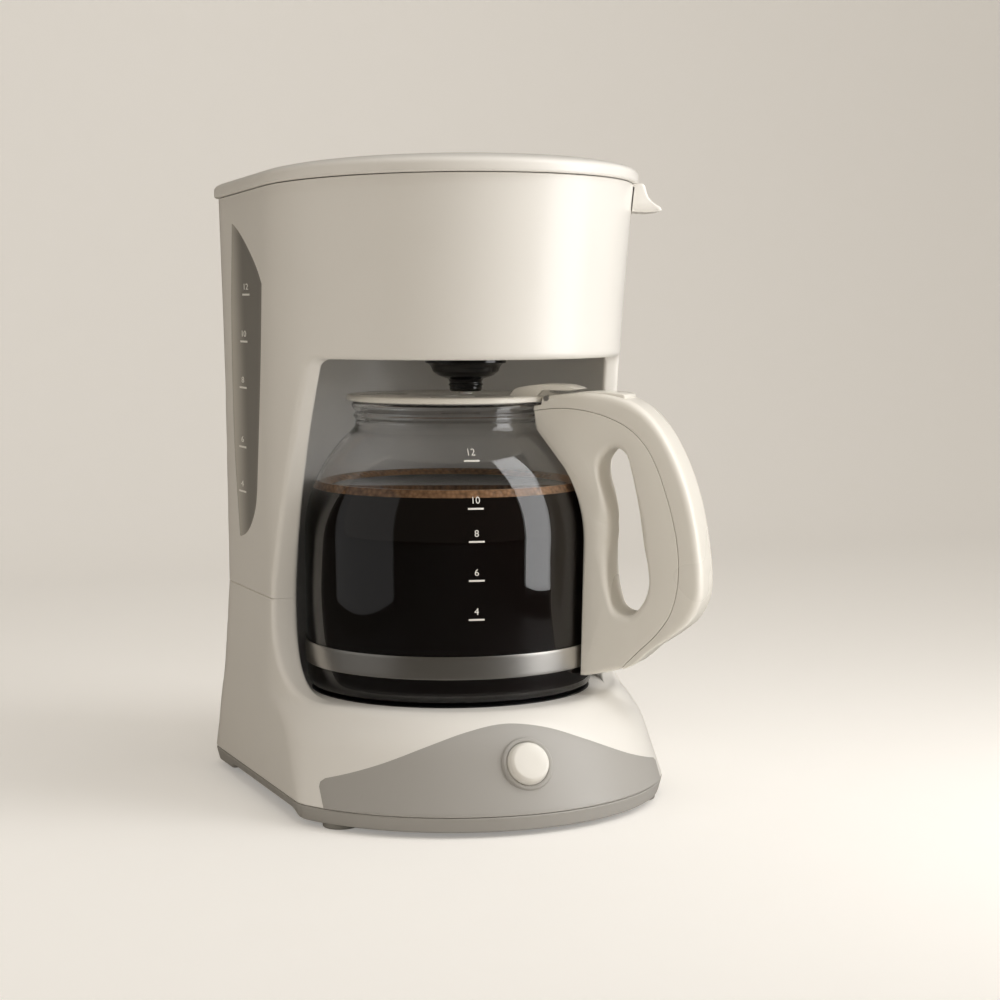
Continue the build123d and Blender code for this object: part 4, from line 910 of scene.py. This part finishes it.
def model_nozzle():
    """Drip outlet: stepped flange, bowl and ringed spout."""
    bm = bmesh.new()
    corners = [
        (0.0, 219.95), (20.0, 219.95), (20.0, 217.2), (18.2, 216.8), (17.2, 215.6), (16.2, 213.0), (13.4, 210.9),
        (10.4, 209.9), (8.7, 209.3), (8.0, 208.0), (8.0, 207.2), (8.45, 207.0), (8.45, 206.2), (8.0, 206.0),
        (8.0, 204.3), (7.5, 203.3), (4.2, 203.3), (4.2, 208.0), (0.0, 208.0),
    ]
    turned(bm, rounded(corners, 0.5), 72, (0.0, BASKET_Y))
    return finished(bm, "drip_outlet", "black_plastic", "machine", "drip_nozzle")


GLASS_WALL = 2.0
COFFEE_LEVEL = 155.6


def glass_curve(inset, bottom):
    """Side view of the carafe's glass from the middle of its foot to its neck, as (radius, z)."""
    foot, belly, shoulder = ((r - inset, z) for r, z in ((72.0, bottom), (73.2, 130.0), (50.0, 182.5)))
    along_r, along_z = belly[0] - foot[0], belly[1] - foot[1]
    size = hypot(along_r, along_z)
    inward = (-along_z / size, along_r / size)
    reach = (shoulder[0] - belly[0], shoulder[1] - belly[1])
    radius = (reach[0] ** 2 + reach[1] ** 2) / (2 * (reach[0] * inward[0] + reach[1] * inward[1]))
    centre = (belly[0] + radius * inward[0], belly[1] + radius * inward[1])
    first = atan2(belly[1] - centre[1], belly[0] - centre[0])
    last = atan2(shoulder[1] - centre[1], shoulder[0] - centre[0])
    run = rounded([(0.0, bottom), foot, belly], 7.0 - inset, 10)[:-1] + steps_between(foot, belly, 12)[2:-1]
    run += [(centre[0] + radius * cos(a), centre[1] + radius * sin(a)) for a in steps(first, last, 30)]
    return run + [(47.7 - inset, 185.6), (47.5 - inset, 187.2)]


GLASS_OUTSIDE = glass_curve(0.0, 54.6)


def glass_radius(z, inset=0.0):
    """Radius of the carafe's glass at a height."""
    return graph([point for point in GLASS_OUTSIDE if point[0] > 66.0 or point[1] > 60.0], z, 1, 0) - inset


def model_glass():
    """Carafe body: blown glass with a thick foot, a ringed neck and a rolled lip."""
    bm = bmesh.new()
    neck = [
        (47.5, 188.6), (47.9, 189.3), (48.35, 190.0), (48.4, 190.6), (48.2, 191.2), (47.6, 191.8), (47.5, 192.6),
        (47.9, 193.3), (48.7, 194.0), (49.15, 194.9), (49.2, 196.0), (48.9, 197.0), (48.2, 197.55), (47.2, 197.5),
        (46.2, 197.0), (45.6, 195.8), (45.5, 193.0),
    ]
    turned(bm, GLASS_OUTSIDE + neck + glass_curve(GLASS_WALL, 57.2)[::-1], 128)
    body = finished(bm, "carafe_glass_body", "glass", "carafe", "carafe_glass", sharp=60)
    # Clear glass lets the lamps through, which a path tracer would otherwise leave as a full shadow.
    body.visible_shadow = False
    return body


def model_coffee():
    """Coffee that fills the carafe, with its foam ring at the glass."""
    wet = [point for point in glass_curve(GLASS_WALL - 0.1, 57.1) if point[1] < COFFEE_LEVEL]
    edge = glass_radius(COFFEE_LEVEL, GLASS_WALL - 0.1)
    bm = bmesh.new()
    turned(bm, wet + [(edge, COFFEE_LEVEL), (edge - 1.0, COFFEE_LEVEL - 0.5), (0.0, COFFEE_LEVEL - 0.5)], 128)
    coffee = finished(bm, "coffee", "coffee", "carafe", slot="black_plastic")
    bm = bmesh.new()
    band = [(glass_radius(z, GLASS_WALL - 0.15), z) for z in steps(COFFEE_LEVEL - 1.4, COFFEE_LEVEL + 2.2, 6)]
    back = [(edge - 2.6, COFFEE_LEVEL + 2.2), (edge - 4.5, COFFEE_LEVEL + 1.2), (edge - 6.5, COFFEE_LEVEL - 0.3)]
    turned(bm, band + back + [(edge - 6.0, COFFEE_LEVEL - 1.4), band[0]], 128)
    foam = finished(bm, "coffee_foam_ring", "foam", "carafe", slot="natural_plastic")
    return coffee, foam


def model_band():
    """Brushed steel band that clamps the handle to the glass."""
    bm = bmesh.new()
    inside = [(glass_radius(z) + 0.2, z) for z in steps(68.0, 79.0, 6)]
    outside = [(r + 0.8, z) for r, z in inside]
    turned(bm, rounded([inside[3]] + inside[4:] + outside[::-1] + inside[:4], 0.25), 128)
    return finished(bm, "steel_band", "bright_steel", "carafe", "carafe_band")


# Side view of the handle, as (distance from the carafe axis, z).
HANDLE_OUTSIDE = (
    (57.0, 201.5), (69.3, 202.8), (81.7, 202.9), (93.9, 201.1), (104.8, 195.4), (113.3, 186.5), (119.8, 175.9),
    (124.8, 164.7), (128.7, 152.9), (131.5, 140.9), (133.5, 128.7), (134.9, 116.4), (134.3, 104.0), (129.0, 93.1),
    (119.5, 85.1), (109.3, 78.2), (99.9, 70.3), (88.1, 66.6), (76.0, 64.0),
)
HANDLE_HOLE = (
    (89.0, 176.5), (83.0, 169.6), (82.8, 160.6), (85.4, 151.7), (87.4, 142.7), (87.5, 133.5), (86.8, 124.3),
    (86.7, 115.1), (87.9, 105.9), (91.0, 97.3), (98.7, 94.9), (105.1, 101.4), (108.0, 110.1), (107.4, 119.3),
    (105.5, 128.3), (104.1, 137.4), (102.8, 146.6), (101.1, 155.6), (99.1, 164.6), (96.2, 173.4),
)
HANDLE_SEAM = (
    (44.0, 193.0), (52.0, 194.4), (64.0, 195.4), (76.0, 194.3), (87.6, 191.2), (98.4, 185.8), (106.8, 177.3),
    (112.5, 166.7), (116.6, 155.4), (120.0, 143.8), (122.4, 132.0), (123.4, 120.0), (122.6, 108.0), (119.3, 96.4),
    (112.5, 86.5), (103.9, 78.0), (95.4, 69.5), (88.0, 60.0),
)
THUMB_REST = (
    (69.5, 201.0), (70.8, 203.2), (78.0, 203.6), (88.0, 203.4), (93.5, 202.9), (95.0, 202.2),
    (95.4, 200.8), (93.5, 198.0),
    (84.0, 199.0),
)
HANDLE_MIDDLE = (95.5, 135.0)
HANDLE_HALF = 12.0


def ray_hit(run, turn, closed=False):
    """Farthest distance from the handle's middle to a run of points in a direction, or nothing."""
    ux, uz = cos(turn), sin(turn)
    found = None
    for a, b in zip(run, list(run[1:]) + ([run[0]] if closed else [])):
        ax, az = a[0] - HANDLE_MIDDLE[0], a[1] - HANDLE_MIDDLE[1]
        bx, bz = b[0] - HANDLE_MIDDLE[0], b[1] - HANDLE_MIDDLE[1]
        side_a, side_b = ux * az - uz * ax, ux * bz - uz * bx
        if side_a * side_b > 0 or side_a == side_b:
            continue
        share = side_a / (side_a - side_b)
        reach = mix(ax, bx, share) * ux + mix(az, bz, share) * uz
        if reach > 0 and (found is None or reach > found):
            found = reach
    return found


def handle_section(turn, near, far, near_round, far_round):
    """Closed rounded section of the handle between two distances from its middle."""
    length = far - near
    near_round, far_round = min(near_round, length * 0.55), min(far_round, length * 0.4)
    half = HANDLE_HALF
    corners = [
        ((near, half - near_round), (near, half), (near + near_round, half)),
        ((far - far_round, half), (far, half), (far, half - far_round)),
        ((far, far_round - half), (far, -half), (far - far_round, -half)),
        ((near + near_round, -half), (near, -half), (near, near_round - half)),
    ]
    ring = [bend(*corner, i / 7) for corner in corners for i in range(8)]
    made = []
    for reach, side in ring + ring[:1]:
        along = HANDLE_MIDDLE[0] + reach * cos(turn)
        made.append(across_handle(along, HANDLE_MIDDLE[1] + reach * sin(turn), side))
    return made


def across_handle(along, z, side):
    """Point in the handle's upright plane, moved sideways from it."""
    c, s = cos(HANDLE_ANGLE), sin(HANDLE_ANGLE)
    return (along * c - side * s, along * s + side * c, z)


# Gap between glass and handle, height of the handle's foot, half the seam between handle and cover.
HANDLE_GAP = 1.3
HANDLE_FOOT = 64.0
COVER_GAP = 0.12
RIM_CORNERS = [(49.2, 196.4), (52.8, 196.9), (53.2, 200.3)]


def handle_rim():
    """Whole outline of the handle in side view, its glass side included."""
    foot = flow(HANDLE_OUTSIDE, 6)
    glass_side = [(glass_radius(z) + HANDLE_GAP, z) for z in steps(HANDLE_FOOT, 183.0, 40)]
    return foot + glass_side + [(49.2, 187.0)] + RIM_CORNERS


def model_handle():
    """Handle loop with a soft finger hole, and the cover strip outside its seam."""
    rim, hole, seam = handle_rim(), flow(HANDLE_HOLE, 6, closed=True), flow(HANDLE_SEAM, 6)
    corners = [
        (76.0, HANDLE_FOOT), (glass_radius(HANDLE_FOOT) + HANDLE_GAP, HANDLE_FOOT), *RIM_CORNERS, (57.0, 201.5),
    ]
    corners = [atan2(z - HANDLE_MIDDLE[1], r - HANDLE_MIDDLE[0]) for r, z in corners]
    turns = sorted(steps(-pi, pi, 180)[:-1] + corners)
    handle_lines, cover_lines = [], []
    for turn in turns:
        near, far, split = ray_hit(hole, turn, True), ray_hit(rim, turn, True), ray_hit(seam, turn)
        glass_side = max(-cos(turn), 0.0)
        covered = split is not None and split < far - 0.3
        handle_lines.append(handle_section(
            turn, near, split - COVER_GAP if covered else far, mix(4.0, 9.0, glass_side), 0.4 if covered else 3.0,
        ))
        if covered:
            cover_lines.append(handle_section(turn, split + COVER_GAP, far, 0.4, 5.0))
    bm = bmesh.new()
    net(bm, handle_lines + handle_lines[:1])
    prism(bm, THUMB_REST, -9.5, 9.5, across_handle, 1.6)
    handle = finished(bm, "handle_loop", "handle_abs", "carafe", "carafe_handle", slot="white_abs", sharp=40)
    bm = bmesh.new()
    net(bm, cover_lines)
    bmesh.ops.remove_doubles(bm, verts=bm.verts, dist=0.01)
    bmesh.ops.holes_fill(bm, edges=[edge for edge in bm.edges if edge.is_boundary])
    cover = finished(bm, "handle_cover_strip", "handle_abs", "carafe", "handle_cover", slot="white_abs", sharp=40)
    return handle, cover


LEVER_PROFILE = flow([
    (35.0, 200.5), (37.0, 203.2), (40.0, 205.0), (50.0, 206.6), (62.0, 206.5), (67.0, 205.6), (70.0, 204.5),
], 4)
LEVER_PROFILE += [(67.0, 203.9), (52.2, 203.9), (49.0, 200.5)]


def model_carafe_lid():
    """Flat carafe lid with a rounded rim, the dish under the drip outlet and the thumb lever."""
    bm = bmesh.new()
    skirt = rounded([
        (0.004, 197.9), (42.8, 197.9), (42.8, 196.4), (44.6, 196.4), (44.6, 198.2), (52.0, 198.2),
        (52.0, 201.0),
    ], 0.4)[:-1]
    skirt += [(52.0, 199.6), (51.8, 200.3), (51.3, 200.8), (50.4, 200.98)]
    lines = []
    for angle in steps(0, 2 * pi, 112):
        c, s = cos(angle), sin(angle)
        column = [(r * c, r * s, z) for r, z in skirt]
        toward = atan2(50.4 * s - BASKET_Y, 50.4 * c)
        for r, z in (
            (12.3, 200.98), (12.0, 200.8), (11.7, 199.8), (4.6, 199.8), (4.4, 200.8), (4.1, 200.98),
            (0.004, 200.98),
        ):
            column.append((r * cos(toward), BASKET_Y + r * sin(toward), z))
        lines.append(column)
    net(bm, lines)
    prism(bm, LEVER_PROFILE, -9.0, 9.0, across_handle, 1.6)
    knuckle = [(55.6 + 2.8 * cos(a), 200.0 + 2.8 * sin(a)) for a in steps(0, 2 * pi, 20)[:-1]]
    prism(bm, knuckle, -5.0, 5.0, across_handle, 0.3)
    web = [(48.0, 203.9), (48.0, 199.0), (55.0, 199.0), (55.0, 203.9)]
    prism(bm, web, -5.0, 5.0, across_handle, 0.3)
    return finished(bm, "carafe_lid_disc", "handle_abs", "carafe_lid", "carafe_lid", slot="white_abs")


def printed(bm, text, size, point):
    """Numeral laid on a surface: point(right, up, lift) is a place on it, with the text's middle at 0, 0."""
    curve = bpy.data.curves.new("numeral", "FONT")
    curve.body = text
    curve.size = size
    curve.align_x = "CENTER"
    curve.align_y = "CENTER"
    curve.extrude = 0.06
    holder = bpy.data.objects.new("numeral", curve)
    mesh = bpy.data.meshes.new_from_object(holder)
    before = set(bm.verts)
    bm.from_mesh(mesh)
    for vert in bm.verts:
        if vert not in before:
            vert.co = point(*vert.co)
    bpy.data.objects.remove(holder)
    bpy.data.curves.remove(curve)
    bpy.data.meshes.remove(mesh)


def tick(bm, left, right, low, high, point):
    """Thin printed bar on a surface."""
    plate(bm, 10, 2, lambda i, j, lift: point(mix(left, right, i / 10), mix(low, high, j / 2), lift), 0.06, 0.06)


def model_window_print():
    """Cup marks printed on the water window: a wide numeral over each line."""
    bm = bmesh.new()
    size = bpy.context.scene.coffee_sizes.window_print / MM
    for label, z, y in WINDOW_MARKS:
        def spot(right, up, lift, y=y, z=z):
            return on_left(y - right, z + up, lift + 0.33)
        tick(bm, -6.5, 6.5, -0.5, 0.5, spot)
        printed(bm, label, size, lambda right, up, lift: spot(right * 2.2, up + 1.6 + size / 2, lift))
    return finished(bm, "window_marks", "ink", "machine", slot="white_abs", merge=0.001)


def model_carafe_print():
    """Cup marks printed on the carafe's glass."""
    bm = bmesh.new()
    size = bpy.context.scene.coffee_sizes.carafe_print / MM
    for label, z in CARAFE_MARKS:
        def spot(right, up, lift, z=z):
            radius = glass_radius(z + up) + lift + 0.08
            angle = CARAFE_PRINT_ANGLE + right / radius
            return (radius * cos(angle), radius * sin(angle), z + up)
        tick(bm, -3.8, 3.8, -0.42, 0.42, spot)
        printed(bm, label, size, lambda right, up, lift: spot(right, up + 1.5 + size / 2, lift))
    return finished(bm, "carafe_marks", "ink", "carafe", slot="white_abs", merge=0.001)


WINDOW_MARKS = (
    ("12", 250.7, 45.0), ("10", 227.0, 52.0), ("8", 203.5, 56.0), ("6", 173.0, 59.0), ("4", 150.0, 61.0),
)
CARAFE_MARKS = (("12", 171.5), ("10", 149.5), ("8", 134.0), ("6", 115.4), ("4", 96.7))
CARAFE_PRINT_ANGLE = radians(-101.0)


def model_stage():
    """Floor that sweeps up into a backdrop, soft lamps and the camera."""
    bm = bmesh.new()
    bow = [(0.9 + 0.6 * sin(a), 0.6 - 0.6 * cos(a)) for a in steps(0, pi / 2, 16)[1:]]
    sweep = [(-3.0, 0.0), (0.9, 0.0), *bow, (1.5, 3.0)]
    net(bm, [[(x, y, z) for y, z in sweep] for x in (-3.5, 0.0, 3.5)])
    bmesh.ops.recalc_face_normals(bm, faces=bm.faces)
    mesh = bpy.data.meshes.new("studio_sweep")
    bm.to_mesh(mesh)
    bm.free()
    mesh.shade_smooth()
    mesh.materials.append(studio_paper(bpy.context.scene.coffee_colours.backdrop))
    floor = bpy.data.objects.new("studio_sweep", mesh)
    bpy.context.scene.collection.objects.link(floor)

    for name, shows, power, bearing, distance, height, aim_height, width, tall in LAMPS:
        lamp = bpy.data.lights.new(name, "AREA")
        lamp.shape = "RECTANGLE"
        lamp.size, lamp.size_y = width, tall
        lamp.energy = power * bpy.context.scene.coffee_sizes.lamp_power
        place = bpy.data.objects.new(name, lamp)
        place.location = (distance * cos(radians(bearing)), distance * sin(radians(bearing)), height)
        aim = Vector((0.0, 0.0, aim_height)) - place.location
        place.rotation_euler = aim.to_track_quat("-Z", "Y").to_euler()
        place.visible_glossy = shows
        place.visible_transmission = shows
        bpy.context.scene.collection.objects.link(place)

    world = bpy.data.worlds.new("studio_air")
    world.use_nodes = True
    air = world.node_tree.nodes["Background"]
    air.inputs["Color"].default_value = (*linear("F3E5D0"), 1.0)
    # Mirror-like surfaces see a darker room than the one that lights the object.
    ray = add(world, "ShaderNodeLightPath")
    strength = add(world, "ShaderNodeMapRange", {
        "Value": ray.outputs["Is Glossy Ray"], "To Min": 0.34, "To Max": 0.1,
    })
    world.node_tree.links.new(strength.outputs["Result"], air.inputs["Strength"])
    bpy.context.scene.world = world
    bpy.context.scene.view_settings.view_transform = "Standard"

    camera = bpy.data.cameras.new("studio_camera")
    camera.sensor_width = 36.0
    camera.lens = camera.sensor_width * CAMERA_FOCAL / 1000
    eye = bpy.data.objects.new("studio_camera", camera)
    eye.location = CAMERA_PLACE
    eye.rotation_euler = (pi / 2 - CAMERA_PITCH, 0.0, CAMERA_HEADING - pi / 2)
    bpy.context.scene.collection.objects.link(eye)
    bpy.context.scene.camera = eye


# Lamps as name, whether glass mirrors it, share of the power, bearing, distance, height, height that
# it is aimed at, and width and height of its face.
LAMPS = (
    ("key_softbox", True, 0.84, -38.0, 0.62, 0.58, 0.58, 0.34, 1.12),
    ("left_card", True, 0.046, 180.0, 0.55, 0.265, 0.265, 0.55, 0.5),
    ("top_fill", False, 1.55, -70.0, 0.5, 1.7, 0.16, 1.4, 1.0),
    ("front_fill", False, 0.46, -105.0, 1.7, 0.35, 0.14, 0.7, 0.5),
)
CAMERA_PLACE = Vector((-0.4022, -1.0367, 0.248))
# Focal length, and how far off the picture's middle the aim is, in pixels of a picture 1000 wide.
CAMERA_FOCAL = 2200.0
CAMERA_OFF = (50.5, 200.0)
CAMERA_AIM = CARAFE_AXIS * MM
CAMERA_PITCH = atan2(CAMERA_OFF[1], CAMERA_FOCAL)
CAMERA_HEADING = (
    atan2(CAMERA_AIM[1] - CAMERA_PLACE.y, CAMERA_AIM[0] - CAMERA_PLACE.x)
    - atan2(CAMERA_OFF[0] * cos(CAMERA_PITCH), CAMERA_FOCAL)
)


def studio_paper(colour):
    """Matt seamless paper: a plain pale sheet with a faint fibre, painted dark where glossy surfaces reflect it.
    """
    material, shader, place = new_material("Matt seamless paper", Roughness=0.85, IOR=1.4)
    fibre = ramp(material, noise(material, place, 30, 3.0), colour, 0.985, 1.015)
    ray = add(material, "ShaderNodeLightPath")
    # Painted reflection: glossy rays see the paper at 0.12 of its colour, so it shows dark in reflections.
    fibre_with_painted_dark_reflection = add(material, "ShaderNodeMix", {
        "Factor": ray.outputs["Is Glossy Ray"], "A": fibre, "B": tint(colour, 0.12),
    }, data_type="RGBA")
    feed(material, shader, Base_Color=fibre_with_painted_dark_reflection.outputs["Result"])
    # The camera sees the sheet a little lifted, so that it stays pale behind the object.
    shader.inputs["Emission Color"].default_value = tint(colour, 1.0)
    glow = add(material, "ShaderNodeMath", {0: ray.outputs["Is Camera Ray"], 1: 0.3}, operation="MULTIPLY")
    feed(material, shader, Emission_Strength=glow.outputs["Value"])
    return material


def shade(name, hint, hex_colour):
    """Colour property with an sRGB default."""
    return bpy.props.FloatVectorProperty(
        name=name, description=hint, subtype="COLOR", size=3, min=0.0, max=1.0, default=linear(hex_colour),
    )


class CoffeeMakerColours(bpy.types.PropertyGroup):
    """Colours of the coffee maker's finishes."""

    body: shade("Body", "Moulded housings and lid", "F3F0EA")
    handle: shade("Handle", "Carafe handle and carafe lid", "F1EDE4")
    panel: shade("Panel", "Front panel, ring and base tray", "B1AEA9")
    button: shade("Button", "Push button", "F6F3EC")
    window: shade("Window", "Water window", "96938D")
    black: shade("Outlet", "Drip outlet", "0C0C0D")
    plate: shade("Plate", "Coating of the warming plate", "131313")
    natural: shade("Inner plastic", "Tank, basket and tray", "E4E1DA")
    silicone: shade("Silicone", "Hoses and seals", "D6D3CD")
    rubber: shade("Rubber", "Feet and cord bush", "9A9791")
    steel: shade("Steel", "Band, screws and springs", "D2CFCA")
    aluminium: shade("Aluminium", "Heater", "C4C4C4")
    ink: shade("Print", "Cup marks", "F4F2EC")
    coffee: shade("Coffee", "Coffee in the carafe", "0D0605")
    foam: shade("Foam", "Ring of bubbles on the coffee", "A9805C")
    backdrop: shade("Backdrop", "Floor and backdrop", "EAE7E2")


class CoffeeMakerSizes(bpy.types.PropertyGroup):
    """Sizes that a user may want to change."""

    window_print: bpy.props.FloatProperty(
        name="Window numerals", description="Height of the numerals on the water window", unit="LENGTH",
        default=4.4 * MM, min=2 * MM, max=12 * MM,
    )
    carafe_print: bpy.props.FloatProperty(
        name="Carafe numerals", description="Height of the numerals on the glass", unit="LENGTH",
        default=4.6 * MM, min=2 * MM, max=12 * MM,
    )
    lamp_power: bpy.props.FloatProperty(
        name="Lamp power", description="Power of the key lamp", unit="POWER", default=5.0, min=1.0, max=500.0,
    )


class COFFEE_OT_finishes(bpy.types.Operator):
    """Make the finishes and give each CAD node the one of its slot"""

    bl_idname = "coffee.finishes"
    bl_label = "Finishes"

    def execute(self, context):
        finishes.update(make_materials(context.scene.coffee_colours))
        slots = {entry["node"]: entry["material_slot"] for entry in frame["record"]["subparts"]}
        for name, node in frame["nodes"].items():
            node.data.materials.clear()
            node.data.materials.append(finishes[slots[name]])
        return {"FINISHED"}


class Modelling:
    """Shared by the operators below: each one models its own pieces."""

    models = ()

    def execute(self, context):
        for model in self.models:
            model()
        return {"FINISHED"}


class COFFEE_OT_housings(Modelling, bpy.types.Operator):
    """Model the two housings with the carafe bay"""

    bl_idname = "coffee.housings"
    bl_label = "Housings"
    models = (model_lower_housing, model_upper_housing)


class COFFEE_OT_lid(Modelling, bpy.types.Operator):
    """Model the domed lid"""

    bl_idname = "coffee.lid"
    bl_label = "Lid"
    models = (model_lid,)


class COFFEE_OT_base(Modelling, bpy.types.Operator):
    """Model the base tray and the feet"""

    bl_idname = "coffee.base"
    bl_label = "Base tray and feet"
    models = (model_base_pan, model_feet)


class COFFEE_OT_controls(Modelling, bpy.types.Operator):
    """Model the front panel, the ring and the push button"""

    bl_idname = "coffee.controls"
    bl_label = "Front panel and button"
    models = (model_control_panel, model_bezel, model_button)


class COFFEE_OT_window(Modelling, bpy.types.Operator):
    """Model the water window and its print"""

    bl_idname = "coffee.window"
    bl_label = "Water window"
    models = (model_window, model_window_print)


class COFFEE_OT_outlet(Modelling, bpy.types.Operator):
    """Model the drip outlet"""

    bl_idname = "coffee.outlet"
    bl_label = "Drip outlet"
    models = (model_nozzle,)


class COFFEE_OT_glass(Modelling, bpy.types.Operator):
    """Model the carafe's glass, band, coffee and print"""

    bl_idname = "coffee.glass"
    bl_label = "Carafe glass"
    models = (model_glass, model_coffee, model_band, model_carafe_print)


class COFFEE_OT_handle(Modelling, bpy.types.Operator):
    """Model the handle and its cover"""

    bl_idname = "coffee.handle"
    bl_label = "Carafe handle"
    models = (model_handle,)


class COFFEE_OT_carafe_lid(Modelling, bpy.types.Operator):
    """Model the carafe lid with its thumb lever"""

    bl_idname = "coffee.carafe_lid"
    bl_label = "Carafe lid"
    models = (model_carafe_lid,)


class COFFEE_OT_stage(Modelling, bpy.types.Operator):
    """Set up the floor, the lamps and the camera"""

    bl_idname = "coffee.stage"
    bl_label = "Stage"
    models = (model_stage,)


STEPS = (
    COFFEE_OT_finishes, COFFEE_OT_housings, COFFEE_OT_lid, COFFEE_OT_base, COFFEE_OT_controls, COFFEE_OT_window,
    COFFEE_OT_outlet, COFFEE_OT_glass, COFFEE_OT_handle, COFFEE_OT_carafe_lid, COFFEE_OT_stage,
)


class COFFEE_PT_panel(bpy.types.Panel):
    """Steps, colours and sizes of the coffee maker"""

    bl_label = "Coffee maker"
    bl_idname = "COFFEE_PT_panel"
    bl_space_type = "VIEW_3D"
    bl_region_type = "UI"
    bl_category = "Coffee maker"

    def draw(self, context):
        for step in STEPS:
            self.layout.operator(step.bl_idname)
        for group in (context.scene.coffee_colours, context.scene.coffee_sizes):
            for name in group.bl_rna.properties.keys():
                if name not in ("rna_type", "name"):
                    self.layout.prop(group, name)


CLASSES = (CoffeeMakerColours, CoffeeMakerSizes, *STEPS, COFFEE_PT_panel)


def register():
    """Register the add-on's classes and settings."""
    for item in CLASSES:
        bpy.utils.register_class(item)
    bpy.types.Scene.coffee_colours = bpy.props.PointerProperty(type=CoffeeMakerColours)
    bpy.types.Scene.coffee_sizes = bpy.props.PointerProperty(type=CoffeeMakerSizes)


def unregister():
    """Remove the add-on's classes and settings."""
    del bpy.types.Scene.coffee_sizes
    del bpy.types.Scene.coffee_colours
    for item in reversed(CLASSES):
        bpy.utils.unregister_class(item)


def main():
    """Build every piece and the stage."""
    register()
    for step in STEPS:
        group, name = step.bl_idname.split(".")
        getattr(getattr(bpy.ops, group), name)()


if __name__ == "__main__":
    main()
